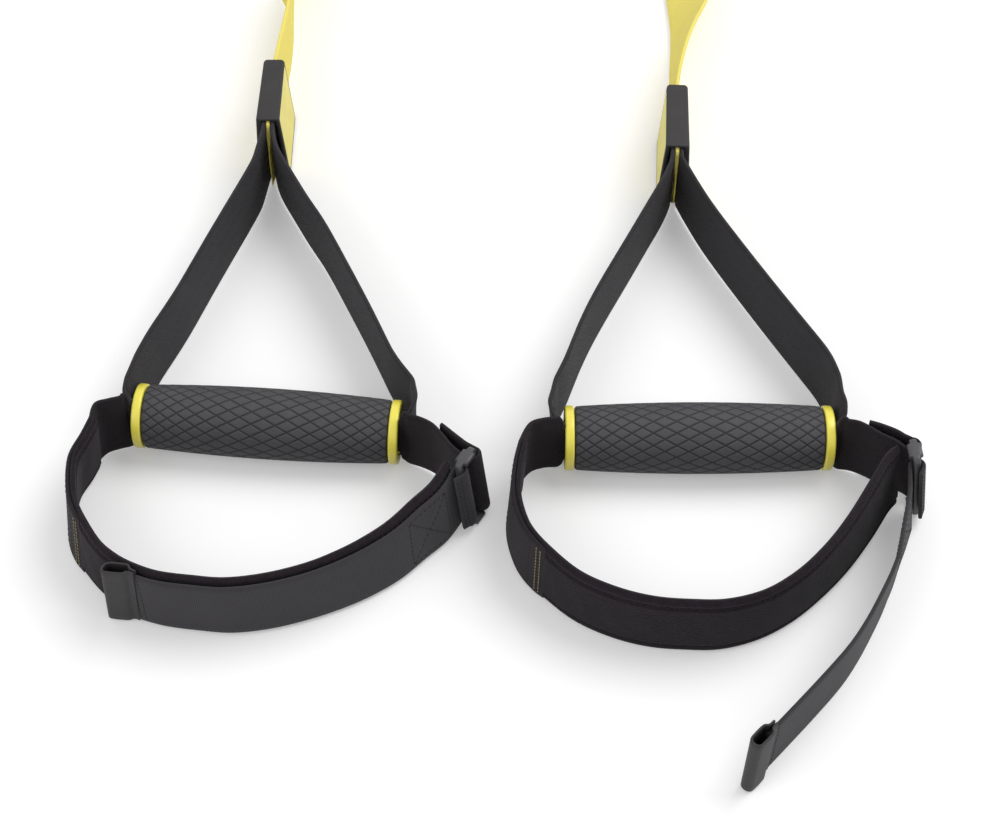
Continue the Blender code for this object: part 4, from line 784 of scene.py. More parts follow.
def rounded_loop(corners, radius, steps=5):
    """Points round a convex outline given by its corners, each rounded."""
    points = []
    for index, corner in enumerate(corners):
        here = Vector(corner)
        back = (Vector(corners[index - 1]) - here).normalized()
        on = (Vector(corners[(index + 1) % len(corners)]) - here).normalized()
        half = back.angle(on) / 2
        centre = here + (back + on).normalized() * (radius / sin(half))
        first, last = [here + way * (radius / tan(half)) - centre for way in (back, on)]
        points += [centre + first.lerp(last, share).normalized() * radius for share in shares(steps)]
    return points


def box_corners(half_x, half_y):
    return ((half_x, -half_y), (half_x, half_y), (-half_x, half_y), (-half_x, -half_y))


def dome(spot, way, radius, sense=1):
    """Rows (middle, way, radius) of a rod's domed end."""
    angles = [HALF_PI * share for share in shares(DOME_STEPS)[:-1]]
    return [(spot + way * (sense * radius * DOME_SHARE * (1 - cos(angle))), way,
             radius * sin(max(angle, DOME_TIP))) for angle in angles]


def tube(name, spots, radius, finish):
    """A round rod through spots that lie in one plane, with domed ends."""
    ways = headings(spots)
    plan = dome(spots[0], ways[0], radius)
    plan += [(spot, way, radius) for spot, way in zip(spots[1:-1], ways[1:-1])]
    plan += dome(spots[-1], ways[-1], radius, -1)[::-1]
    rows = [circle(spot, way.cross(UP).normalized(), UP, size, ROD_SIDES) for spot, way, size in plan]
    return swept(name, rows, finish, 50)


# Handle set


def handle_frame(side):
    across, along = GRIP_PLACE_SHARES[side]
    spot = Vector((HANDLE_SPACING * across, -HANDLE_REACH * along, 0))
    return Matrix.Translation(spot) @ Matrix.Rotation(HANDLE_YAW[side], 4, "Z")


def triangle_spot(share):
    return share[0] * HALF_GRIP, share[1] * TRIANGLE_HEIGHT


def cradle_spot(share):
    return share[0] * CRADLE_HALF_WIDTH, share[1] * CRADLE_DEPTH


def yoke_line(side):
    """The middle of the yoke's mouth, and the way from there to its back."""
    turn = YOKE_TILT[side]
    return Vector((*triangle_spot(MOUTH_SHARES[side]), 0)), Vector((-sin(turn), cos(turn), 0))


def leg_line(side, shares, hand):
    """One leg of the webbing loop, from the yoke down to the grip and into its bore."""
    mouth, axis = yoke_line(side)
    sideways = Vector((axis.y, -axis.x, 0)) * (hand * LAYER)
    inside, below = [(*(mouth + axis * depth + sideways).xy, YOKE_MIDDLE_HEIGHT, WEBBING_WIDTH, 0, 0)
                     for depth in (YOKE_LENGTH - LEG_INSET, -STRAP_END_REACH / 2)]
    points = [below]
    for share in shares:
        closeness = max(0, 1 - share[1] / shares[-3][1])
        points.append((*triangle_spot(share), mix(LEG_HEIGHT, YOKE_MIDDLE_HEIGHT, share[1]),
                       WEBBING_WIDTH, FOOT_CURL * closeness, 0))
    reach = HALF_GRIP * CORNER_SHARES[side][0 if hand < 0 else 1]
    for share, y, gather, curl in LEG_CORNER_SHARES:
        points.append((hand * (HALF_GRIP + reach * share), y, mix(LEG_HEIGHT, GRIP_RADIUS, gather),
                       mix(WEBBING_WIDTH, GATHERED_WIDTH, gather), curl, 0))
    points.append((hand * (HALF_GRIP - 2 * RING_WIDTH), BORE_LINE, GRIP_RADIUS, GATHERED_WIDTH,
                   BORE_CURL, 0))
    return [inside] + ease(smooth(points), 2, FINE * len(shares), LEG_EASE_ROUNDS)


def make_handle_webbing(side, place):
    sections = standing_sections(leg_line(side, LEFT_LEG_SHARES[side], -1)
                                 + leg_line(side, RIGHT_LEG_SHARES[side], 1)[::-1])
    web = strip("handle_strap_" + side, sections, WEBBING_THICKNESS, "black_webbing",
                columns=16)
    put(web, "handle_" + side, "black_webbing", "handle_webbing_" + side, place)
    start, end = [YOKE_LENGTH + STRAP_END_REACH / 2 + along for along in LEG_SEAM]
    lines = [((sense * start, across), (sense * end, across))
             for sense in (1, -1) for across in (-LEG_SEAM_HALF, LEG_SEAM_HALF)]
    sew("handle_seam_" + side, sections, lines, -HALF_WEBBING, "dark_thread",
        ("handle_" + side, "black_webbing", None, place))


def sleeve_loop(top_half, bottom_half, low, high, radius):
    corners = ((bottom_half, low), (top_half, high), (-top_half, high), (-bottom_half, low))
    return rounded_loop(corners, radius)


def end_rounding(radius, steps=6):
    """Rows (along, inset) of a rounded end."""
    return [(radius * (1 - cos(HALF_PI * share)), radius * (1 - sin(HALF_PI * share)))
            for share in shares(steps)]


def edge_inset(along, radius):
    """How far a rounded edge of that radius lies inside the face at a distance from the end."""
    return radius - sqrt(radius ** 2 - max(0.0, radius - along) ** 2)


def make_yoke(side, place):
    """A wedge-shaped rubber sleeve: round edges, and a mouth that opens towards the legs."""
    top_half, bottom_half = YOKE_TOP_THICKNESS / 2, YOKE_BOTTOM_THICKNESS / 2
    outer = end_rounding(SLEEVE_MOUTH_ROUNDING)
    outer += [(YOKE_LENGTH * share, 0) for share in (0.2, 0.4, 0.6, 0.8)]
    outer += [(YOKE_LENGTH - along, inset) for along, inset in end_rounding(SLEEVE_BACK_ROUNDING)[::-1]]
    rows = []
    for along, inset in outer:
        rise = edge_inset(min(along, YOKE_LENGTH - along), SLEEVE_EDGE_ROUNDING)
        spare = SLEEVE_FLARE * (1 - along / YOKE_LENGTH) - inset
        loop = sleeve_loop(top_half + spare, bottom_half + spare, rise, YOKE_HEIGHT - rise, SLEEVE_CORNER)
        rows.append([Vector((point.x, along, point.y)) for point in loop])
    slot_half = 1.5 * WEBBING_THICKNESS + 2 * GAP
    slot_low = (YOKE_HEIGHT - WEBBING_WIDTH) / 2 - GAP
    for along, share in SLOT_PLAN:
        loop = sleeve_loop(mix(slot_half, top_half - SLEEVE_WALL, share),
                           mix(slot_half, bottom_half - SLEEVE_WALL, share),
                           slot_low, YOKE_HEIGHT - slot_low, SLOT_ROUNDING)
        for point in loop:
            side_share = MOUTH_SIDE_SHARES[side][0 if point.x < 0 else 1]
            narrow = min(abs(point.x), slot_half)
            point.x = copysign(mix(narrow, abs(point.x), side_share), point.x)
        rows.append([Vector((point.x, along, point.y)) for point in loop])
    sleeve = swept("yoke_" + side, rows, "rubber", 38, True)
    seat = place @ Matrix.Translation(yoke_line(side)[0]) @ Matrix.Rotation(YOKE_TILT[side], 4, "Z")
    put(sleeve, "handle_" + side, "black_rubber", "yoke_sleeve_" + side, seat)
    for hand, label in ((-1, "a"), (1, "b")):
        make_panel(side, hand, label, seat)


def make_panel(side, hand, label, seat):
    """A bare side panel, slightly crowned, inlaid in the sleeve's sloping side."""
    slope = atan2((YOKE_BOTTOM_THICKNESS - YOKE_TOP_THICKNESS) / 2, YOKE_HEIGHT)
    front, back, low, high = PANEL_MARGINS
    half_length, half_height = (YOKE_LENGTH - front - back) / 2, (YOKE_HEIGHT - low - high) / 2
    rows = []
    for inset, depth in PANEL_CROWN:
        corners = box_corners(half_length - inset, half_height - inset)
        loop = rounded_loop(corners, max(PANEL_CORNER - inset, PANEL_LEAST_CORNER))
        rows.append([Vector((hand * depth, point.x, point.y)) for point in loop])
    panel = swept(f"panel_{label}_{side}", rows, "panel", 50)
    middle = Vector((hand * ((YOKE_TOP_THICKNESS + YOKE_BOTTOM_THICKNESS) / 4 + SLEEVE_FLARE / 2),
                     YOKE_LENGTH / 2, YOKE_HEIGHT / 2))
    flare = Matrix.Rotation(hand * atan2(SLEEVE_FLARE, YOKE_LENGTH), 4, "Z")
    inset = Matrix.Translation((0, (front - back) / 2, (low - high) / 2))
    tilt = seat @ Matrix.Translation(middle) @ flare @ Matrix.Rotation(-hand * slope, 4, "Y") @ inset
    put(panel, "handle_" + side, "yellow_plastic", f"yoke_panel_{label}_{side}", tilt)


def thin_end(_, lift, along, length):
    """Presses a strap's end thin where the legs close on it."""
    full = max(0.0, min(1.0, (length - along - STRAP_END_TIP) / STRAP_END_PRESS_REACH))
    return lift * mix(STRAP_END_PRESSED, STRAP_END_FULL, full)


def make_strap_end(side, place):
    """The yellow end between the legs, cut round."""
    mouth, axis = yoke_line(side)
    inside = mouth + axis * (YOKE_LENGTH - LEG_INSET)
    points = [(inside.x, inside.y, YOKE_MIDDLE_HEIGHT, WEBBING_WIDTH, 0, 0)]
    for depth_share, cut in STRAP_END_CUT_SHARES:
        spot = mouth - axis * (STRAP_END_REACH * depth_share)
        lift, drop = STRAP_END_RAISE[side] * max(0, depth_share) ** 2, STRAP_END_DROP * cut
        points.append((spot.x, spot.y, YOKE_MIDDLE_HEIGHT + (lift - drop) / 2,
                       WEBBING_WIDTH - drop - lift, 0, 0))
    sections = standing_sections(smooth(points, 4))
    end = strip("yellow_end_" + side, sections, WEBBING_THICKNESS, "yellow_webbing", form=thin_end)
    put(end, "handle_" + side, "yellow_webbing", "strap_end_" + side, place)


def groove(along, turn):
    """Depth of the nearest groove of the lattice at a place on the grip."""
    bend = LATTICE_SLOPE * along + LATTICE_CURVE * along ** 3
    slope = LATTICE_SLOPE + 3 * LATTICE_CURVE * along ** 2
    step = 2 * pi / LATTICE_LINES
    offsets = [(turn + sense * bend) % step for sense in (-1, 1)]
    nearest = min(min(offset, step - offset) for offset in offsets) * GRIP_RADIUS
    return GROOVE_DEPTH * exp(-(nearest / hypot(1, slope * GRIP_RADIUS) / GROOVE_WIDTH) ** 2)


def ring_profile(bore):
    """A band with softened edges and a lip that closes the end of the rubber and the tube."""
    lip = RING_WIDTH - RING_LIP
    crown = []
    for centre, first in ((RING_EDGE, -90), (RING_WIDTH - RING_EDGE, 0)):
        for turn in (radians(first + 90 * share) for share in shares(6)):
            reach = RING_RADIUS - RING_EDGE + RING_EDGE * cos(turn)
            crown.append((reach, centre + RING_EDGE * sin(turn)))
    inner = [(BORE_RADIUS + wider, RING_WIDTH - inset) for wider, inset in RING_BORE_EDGE]
    return crown + inner + [(BORE_RADIUS, lip), (bore, lip), (bore, 0)]


def round_x(along, radius, turn):
    return along, radius * cos(turn), radius * sin(turn)


def make_grip(side, axis_place):
    half_rubber = HALF_GRIP - RING_WIDTH - RUBBER_TO_RING
    bore = TUBE_RADIUS + GAP
    turns = around(GRIP_SIDES)
    rows = []
    for share in (mix(-1, 1, share) for share in shares(GRIP_STEPS)):
        along = share * half_rubber
        radius = mix(GRIP_END_RADIUS, GRIP_RADIUS, cos(HALF_PI * share) ** BARREL_POWER)
        radius -= max(0.0, 1 - (half_rubber - abs(along)) / GRIP_END_EDGE) ** 2 * GRIP_END_DROP
        rows.append([round_x(along, radius - groove(along, turn), turn) for turn in turns])
    rows += [[round_x(along, bore, turn) for turn in turns] for along in (half_rubber, -half_rubber)]
    rubber = swept("grip_barrel_" + side, rows, "grip", 50, True)
    put(rubber, "grip_" + side, "grip_rubber", "grip_rubber_" + side, axis_place)
    rows = [[round_x(along, radius, turn) for radius, along in ring_profile(bore)]
            for turn in around(RING_SIDES)]
    for hand, label in ((-1, "left"), (1, "right")):
        ring = swept(f"end_ring_{label}_{side}", rows, "yellow_plastic", 40, True)
        flip = Matrix.Rotation(pi if hand < 0 else 0, 4, "Z")
        seat = axis_place @ Matrix.Translation((hand * (HALF_GRIP - RING_WIDTH), 0, 0)) @ flip
        put(ring, "grip_" + side, "yellow_plastic", f"grip_ring_{label}_{side}", seat)


# Foot cradle


def offset_line(points, distance):
    """A line beside points (x, y, lean), to the left of the way it runs."""
    spots = [Vector((x, y, 0)) for x, y, _ in points]
    return [(spot.x - heading.y * distance, spot.y + heading.x * distance, point[2])
            for spot, heading, point in zip(spots, headings(spots), points)]


def pad_line(side):
    return smooth([(*cradle_spot(share), share[2]) for share in PAD_SHARES[side]])


def ring_frame(side):
    """The ring's middle, the way across its bars, along them, and out of the cradle."""
    middle = Vector((*cradle_spot(RING_PLACE_SHARES[side]), RING_MIDDLE))
    run = Vector((sin(RING_TURN[side]), -cos(RING_TURN[side]), 0))
    outward = Vector((-run.y, run.x, 0))
    bars = (UP - outward * RING_LEAN_SHARES[side]).normalized()
    return middle, run, bars, outward


def leaning_sections(side, shares, first, last):
    """Sections of the web near the ring, whose lean grows from first to last."""
    outward = ring_frame(side)[3]
    spots = [Vector((*spot, 0)) for spot in smooth([cradle_spot(share) for share in shares])]
    sections = []
    for index, (spot, heading) in enumerate(zip(spots, headings(spots))):
        part = mix(first, last, index / (len(spots) - 1))
        across = (UP - outward * (RING_LEAN_SHARES[side] * part)).normalized()
        middle = spot + UP * mix(PAD_MIDDLE, RING_MIDDLE, part)
        sections.append(Section(middle, across, UP.cross(heading)))
    return sections


def folded_sections(centre, start, bars, radius, turn, width, steps=18):
    """Sections of a strap that folds round a bar."""
    outs = [Matrix.Rotation(turn * share, 3, bars) @ start for share in shares(steps)]
    return [Section(centre + out * radius, bars, -out, width) for out in outs]


def gathered_points(side, hand):
    """The web from the middle of the bore out to its flare, on one end of the grip."""
    plan = [(0.0, 0.0), (HALF_GRIP * 0.5, 0.0)]
    plan += [(HALF_GRIP + reach, spread) for reach, spread in WEB_SPREAD]
    return [(hand * reach, -CORE_OFFSET, mix(GRIP_RADIUS, PAD_MIDDLE, spread),
             mix(CORE_WIDTH, WEBBING_WIDTH, spread), 0, 0) for reach, spread in plan]


def tapered_start(_, lift, along, __):
    """Thins a strap towards its sewn start, which is pressed into the pad."""
    return lift * min(1.0, mix(WEB_TIP_SHARE, 1, along / WEB_TAPER))


def make_cradle_web(side, place):
    """Two halves that meet inside the grip: one sewn to the pad's start, one folded round
    the far bar of the ring. Each twists between the grip and the cradle."""
    sewn = offset_line(pad_line(side), -SEWN_WEB_TO_PAD)[:SEWN_STEPS + 1]
    line = [(x, y, PAD_MIDDLE, WEBBING_WIDTH, 0, -lean) for x, y, lean in sewn[::-1]]
    knots = [line[-1]]
    knots += [(*cradle_spot(share), PAD_MIDDLE, WEBBING_WIDTH, 0, 0)
              for share in WEB_START_SHARES[side][1:]]
    knots += gathered_points(side, -1)[::-1]
    start_sections = standing_sections(line[:-1] + smooth(knots, 6))
    start = strip("web_start_" + side, start_sections, WEBBING_THICKNESS, "cradle_web",
                  form=tapered_start)
    knots = gathered_points(side, 1)
    knots.append((*cradle_spot(WEB_END_SHARES[side][0]), PAD_MIDDLE, WEBBING_WIDTH, 0, 0))
    sections = standing_sections(smooth(knots, 6))[:-1]
    sections += leaning_sections(side, WEB_END_SHARES[side], 0, 1)
    middle, run, bars, _ = ring_frame(side)
    lead = Matrix.Rotation(-WEB_LEAD[side], 3, bars) @ run
    sections += folded_sections(middle - run * (BAR_SPACING / 2), lead, bars, FOLD_RADIUS,
                                WEB_WRAP + WEB_LEAD[side], WEBBING_WIDTH)
    sections += leaning_sections(side, WEB_BACK_SHARES[side], 1, WEB_TIP_LEAN_SHARE)
    end = strip("web_end_" + side, sections, WEBBING_THICKNESS, "cradle_web")
    for piece, hand, reach in zip((start, end), (-1, 1), WEB_BLEND_ENDS):
        piece.matrix_world = place
        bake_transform(piece)
        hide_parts("cradle_web_" + side)
    ride = ("cradle_" + side, "black_webbing", None, place)
    box_end = run_lengths(standing_sections(line))[-1] - BOX_MARGIN
    sew("web_seam_" + side, start_sections, box_lines(WEB_BOX_START, box_end, WEB_SEAM_HALF, False),
        HALF_WEBBING, "dark_thread", ride, WEB_STITCH)
    sew("web_end_rows_" + side, start_sections, row_lines(WEB_ROWS, WEB_SEAM_HALF), HALF_WEBBING,
        "tan_thread", ride, WEB_ROW_STITCH)


def pad_form(across, lift, along, length, sewn):
    """Crowned foam between two bound edges: a channel beside each binding, soft ends, and
    pressed flat on its outside under the sewn web."""
    half, full = PAD_HEIGHT / 2, PAD_THICKNESS / 2
    edge = half - abs(across)
    if edge > PAD_CHANNEL_END:
        share = (abs(across) / (half - PAD_CHANNEL_END)) ** 2
        ripple = 1 + sin(along * PAD_RIPPLE_ALONG + across * PAD_RIPPLE_ACROSS)
        reach = full * (1 - PAD_CROWN_DROP * share) - PAD_RIPPLE * ripple * (1 - share)
    elif edge > PAD_BINDING:
        reach = full * PAD_CHANNEL_SHARE
    else:
        rounding = PAD_BINDING_ROUND * sin(pi * min(1.0, edge / PAD_BINDING))
        reach = full * (PAD_BINDING_SHARE + rounding)
    from_end = min(1.0, min(along, length - along) / PAD_END)
    reach *= mix(PAD_END_SHARE, 1, sin(HALF_PI * from_end))
    if lift < 0:
        press = max(0.0, min(1.0, (sewn - along) / WEB_TAPER))
        reach = min(reach, full * mix(1, SEWN_PAD_SHARE, press))
    return lift * reach / full


def make_foot_pad(side, place):
    points = pad_line(side)
    rise = (RING_MIDDLE - PAD_MIDDLE) / (1 - PAD_RISE_START_SHARE)
    line = [(x, y, PAD_MIDDLE + rise * max(0, index / len(points) - PAD_RISE_START_SHARE),
             PAD_HEIGHT, 0, lean) for index, (x, y, lean) in enumerate(points)]
    sections = standing_sections(line)
    lengths = run_lengths(sections)
    form = partial(pad_form, sewn=lengths[SEWN_STEPS])
    pad = strip("pad_" + side, sections, PAD_THICKNESS, "pad", columns=40, form=form)
    put(pad, "cradle_" + side, "pad_fabric", "foot_pad_" + side, place)
    lines = [((PAD_SEAM_INSET, across), (lengths[-1] - PAD_SEAM_INSET, across))
             for across in (-PAD_SEAM_HALF, PAD_SEAM_HALF)]
    for label, lift in (("inside", PAD_SEAM_LIFT), ("outside", -PAD_SEAM_LIFT)):
        sew(f"pad_seam_{label}_{side}", sections, lines, PAD_THICKNESS * lift, "dark_thread",
            ("cradle_" + side, "pad_fabric", None, place), PAD_STITCH)


def make_cradle_ring(side, place):
    """A rectangular ring on edge with round corners and softened bars."""
    middle, run, bars, _ = ring_frame(side)
    half_rise = (RING_HEIGHT - BAR_WIDTH) / 2
    path = rounded_loop(box_corners(BAR_SPACING / 2, half_rise), BAR_CORNER, 4)
    spots, depths = [], []
    for here, there in zip(path, path[1:] + path[:1]):
        on_rail = abs(here.y) > half_rise - BAR_ROUNDING and abs(here.x - there.x) > BAR_WIDTH
        for share, depth in RAIL_PLAN if on_rail else RAIL_PLAN[:1]:
            spots.append(Vector((*here.lerp(there, share), 0)))
            depths.append(depth)
    bar = rounded_loop(box_corners(BAR_WIDTH / 2, BAR_DEPTH / 2), BAR_ROUNDING, 4)
    rows = []
    for index, (spot, depth) in enumerate(zip(spots, depths)):
        way = (spots[(index + 1) % len(spots)] - spots[index - 1]).normalized()
        rows.append([spot + way.cross(UP) * point.x + UP * (point.y * depth) for point in bar])
    ring = swept("corner_ring_" + side, rows, "black_plastic", 50, True)
    normal = run.cross(bars).normalized()
    seat = place @ Matrix.Translation(middle) @ Matrix((run, bars, normal)).transposed().to_4x4()
    put(ring, "cradle_" + side, "black_plastic", "cradle_ring_" + side, seat)


def make_closure(side, place):
    """The hook-and-loop strap: a sewn loop round the near bar, then along the pad or loose."""
    middle, run, bars, _ = ring_frame(side)
    near_bar = middle + run * (BAR_SPACING / 2)
    lead = Matrix.Rotation(-CLOSURE_LEAD, 3, bars)
    start = lead @ bars.cross(run).normalized()
    edge = near_bar + start * CLOSURE_FOLD_RADIUS
    sections = [Section(edge + lead @ run * (LOOP_END * (1 - share)), bars, -start, CLOSURE_HEIGHT)
                for share in shares(10)[:-1]]
    sections += folded_sections(near_bar, start, bars, CLOSURE_FOLD_RADIUS, pi + CLOSURE_LEAD,
                                CLOSURE_HEIGHT)
    box_start = run_lengths(sections)[-1] + CLOSURE_RETURN + CLOSURE_BOX_GAP
    if side == "left":
        end = CLOSURE_END_SHARE * CRADLE_HALF_WIDTH
        track = offset_line(pad_line(side), -CLOSURE_TO_PAD)[::-1][FINE // 2:]
        line = [(x, y, PAD_MIDDLE, CLOSURE_HEIGHT, 0, -lean) for x, y, lean in track if x > end]
    else:
        track = smooth([cradle_spot(share) for share in LOOSE_SHARES])
        fade = len(track) * LOOSE_LEAN_FADE_SHARE
        line = [(x, y, CLOSURE_HEIGHT / 2 + FLOOR_GAP, CLOSURE_HEIGHT, 0,
                 -RING_LEAN_SHARES[side] * max(0, 1 - index / fade))
                for index, (x, y) in enumerate(track)]
    standing = standing_sections(line)
    sections += standing
    strap = strip("closure_" + side, sections, CLOSURE_THICKNESS, "closure")
    put(strap, "closure_" + side, "black_webbing", "closure_strap_" + side, place)
    loop_rows = row_lines(CLOSURE_LOOP_ROWS, CLOSURE_SEAM_HALF)
    lines = box_lines(box_start, box_start + CLOSURE_BOX, BOX_HALF)
    lines += row_lines(CLOSURE_END_ROWS, CLOSURE_SEAM_HALF)
    seams = (("loop", loop_rows, -0.5), ("outside", lines, 0.5), ("inside", lines, -0.5))
    for label, rows, lift in seams:
        sew(f"closure_seam_{label}_{side}", sections, rows, CLOSURE_THICKNESS * lift, "dark_thread",
            ("closure_" + side, "black_webbing", None, place), CLOSURE_STITCH)
    make_tab(side, place, standing)


def make_tab(side, place, standing):
    """A folded rubber pull tab: a flat loop at its free end, its two ends sewn to the strap."""
    tip = standing[-1].middle
    heading = (tip - standing[-2].middle).normalized()
    left = UP.cross(heading)
    low, high = FLOOR_GAP + TAB_DROP, TAB_HEIGHT + FLOOR_GAP
    across = (UP - heading * TAB_SKEW_SHARES[side]).normalized()
    path = [(along, TAB_WALL * share) for along, share in TAB_ENDS_PLAN]
    path += [(along, TAB_THICKNESS / 2 * share) for along, share in TAB_LOOP_PLAN]
    path += [(along, -out) for along, out in path[-2::-1]]
    spots = [Vector((along, out + max(0, along) * TAB_TURN_SHARES[side], 0))
             for along, out in smooth(path, 6)]
    sections = []
    for spot, way in zip(spots, headings(spots)):
        ground = tip + heading * spot.x + left * spot.y
        middle = Vector((ground.x, ground.y, (low + high) / 2))
        face = UP.cross(heading * way.x + left * way.y)
        sections.append(Section(middle, across, face, high - low))
    tab = strip("pull_tab_" + side, sections, TAB_WALL, "rubber", columns=10)
    put(tab, "closure_" + side, "black_rubber", "strap_tab_" + side, place)
    sew("tab_seam_" + side, sections, row_lines((TAB_SEAM, -TAB_SEAM), TAB_SEAM_HALF), -TAB_WALL / 2,
        "dark_thread", ("closure_" + side, "black_rubber", None, place), TAB_STITCH)


# Yellow strap, black strap and anchor


def strap_way(side):
    """The straight part of the straps: which hand, the way across it and along it."""
    hand = -1 if side == "left" else 1
    turn = hand * atan2(BUCKLE_SIDE - STRAP_MEET_X, BUCKLE_REACH - STRAP_MEET_Y)
    return hand, Vector((cos(turn), sin(turn), 0)), Vector((-sin(turn), cos(turn), 0))


def along_strap(side, distance, height=0.0):
    hand, _, way = strap_way(side)
    return Vector((hand * BUCKLE_SIDE, -BUCKLE_REACH, height)) + way * distance


def flat_section(side, distance, height, face=UP):
    return Section(along_strap(side, distance, height), strap_way(side)[1], face)


def make_main_strap(side):
    """The yellow strap: flat tail, through the buckle, a quarter twist, and on edge into the
    yoke from its hinge."""
    sections = [flat_section(side, mix(TAIL_END, -BUCKLE_FRONT, share), YELLOW_Z)
                for share in shares(YELLOW_STEPS)]
    exit_spot = along_strap(side, -BUCKLE_FRONT)
    place = handle_frame(side)
    mouth, axis = yoke_line(side)
    hinge = place @ (mouth + axis * (YOKE_LENGTH + YOKE_TO_HINGE))
    run = exit_spot.y - hinge.y
    points = [(exit_spot.x, exit_spot.y, YELLOW_Z, 1.0)]
    for along, sideways, twist in STRAP_RUN_SHARES[side][::-1]:
        angle = HALF_PI * twist
        height = (YOKE_MIDDLE_HEIGHT - FLOOR_GAP) * cos(angle) + HALF_WEBBING * sin(angle)
        points.append((mix(hinge.x, exit_spot.x, along) + sideways * run, hinge.y + along * run,
                       max(YELLOW_Z, height), twist))
    points.append((hinge.x, hinge.y, YOKE_MIDDLE_HEIGHT, 0))
    line = smooth(points)[1:]
    spots = [Vector(point[:3]) for point in line]
    for spot, heading, point in zip(spots, headings(spots), line):
        angle = HALF_PI * point[3]
        level = Vector((-heading.y, heading.x, 0)).normalized()
        across = UP * cos(angle) + level * sin(angle)
        across = (across - heading * across.dot(heading)).normalized()
        sections.append(Section(spot, across, heading.cross(across)))
    last = sections[-1]
    for depth in YOKE_ENTRY:
        inside = hinge + UP * YOKE_MIDDLE_HEIGHT - place.to_3x3() @ axis * depth
        sections.append(last._replace(middle=inside))
    strap = strip("yellow_strap_" + side, sections, WEBBING_THICKNESS, "yellow_webbing")
    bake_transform(strap)
    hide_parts("main_strap_" + side)
    sew("tail_seam_" + side, sections, box_lines(*TAIL_BOX, BOX_HALF), HALF_WEBBING, "yellow_thread",
        ("strap_" + side, "yellow_webbing"))


def make_anchor_strap(side):
    """The black strap from its fold round the buckle's bar to the collar."""
    hand, _, backwards = strap_way(side)
    bar_front = BUCKLE_REAR - BUCKLE_BAR_LENGTH
    centre_z, radius = (BLACK_Z + RETURN_Z) / 2, (BLACK_Z - RETURN_Z) / 2
    sections = [flat_section(side, bar_front + FOLD_RETURN, RETURN_Z, -UP)]
    for angle in (pi * share for share in shares(FOLD_STEPS)):
        sections.append(flat_section(side, bar_front - radius * sin(angle) * FOLD_DEPTH_SHARE,
                                     centre_z - radius * cos(angle),
                                     backwards * -sin(angle) - UP * cos(angle)))
    sections += [flat_section(side, mix(bar_front, RAMP_START, share), BLACK_Z)
                 for share in shares(BLACK_STEPS)[1:]]
    end_z = COLLAR_LAYERS_Z[2 if side == "left" else 1]
    sections.append(flat_section(side, RAMP_START + RAMP_LENGTH, end_z))
    points = [(hand * STRAP_MEET_X * x, -STRAP_MEET_Y * y) for x, y in COLLAR_BEND_SHARES]
    points += [(0, -COLLAR_LENGTH / 2), (0, COLLAR_LENGTH / 2 - LEG_INSET)]
    spots = [Vector((x, y, end_z)) for x, y in smooth(points)]
    sections += [Section(spot, Vector((heading.y, -heading.x, 0)), UP)
                 for spot, heading in zip(spots, headings(spots))]
    strap = strip("black_strap_" + side, sections, WEBBING_THICKNESS, "black_webbing")
    put(strap, "anchor", "black_webbing", "anchor_strap_" + side)
    flat = [flat_section(side, bar_front + reach, BLACK_Z)
            for reach in (0, FOLD_RETURN + FOLD_SEAM_SPARE)]
    lines = box_lines(FOLD_BOX_START, FOLD_RETURN - BOX_MARGIN, BOX_HALF)
    sew("fold_seam_" + side, flat, lines, HALF_WEBBING, "dark_thread", ("anchor", "black_webbing"))


def make_anchor_loop():
    """Webbing out of the collar, round the carabiner's bar, and back in."""
    low, high = COLLAR_LAYERS_Z[0], COLLAR_LAYERS_Z[3]
    radius = CARABINER_ROD + GAP + HALF_WEBBING
    inside = -COLLAR_LENGTH / 2 + LEG_INSET
    points = [(inside, low), (0, low), (COLLAR_LENGTH / 2, low)]
    for angle in (pi * share - HALF_PI for share in shares(LOOP_STEPS)):
        points.append((LOOP_REACH + radius * cos(angle), BAR_CENTRE_Z + radius * sin(angle)))
    points += [(COLLAR_LENGTH / 2, high), (0, high), (inside, high)]
    spots = [Vector((0, y, z)) for y, z in points]
    across = Vector((1, 0, 0))
    sections = [Section(spot, across, across.cross(heading), LOOP_WIDTH)
                for spot, heading in zip(spots, headings(spots))]
    loop = strip("top_loop", sections, WEBBING_THICKNESS, "black_webbing")
    put(loop, "anchor", "black_webbing", "anchor_loop")


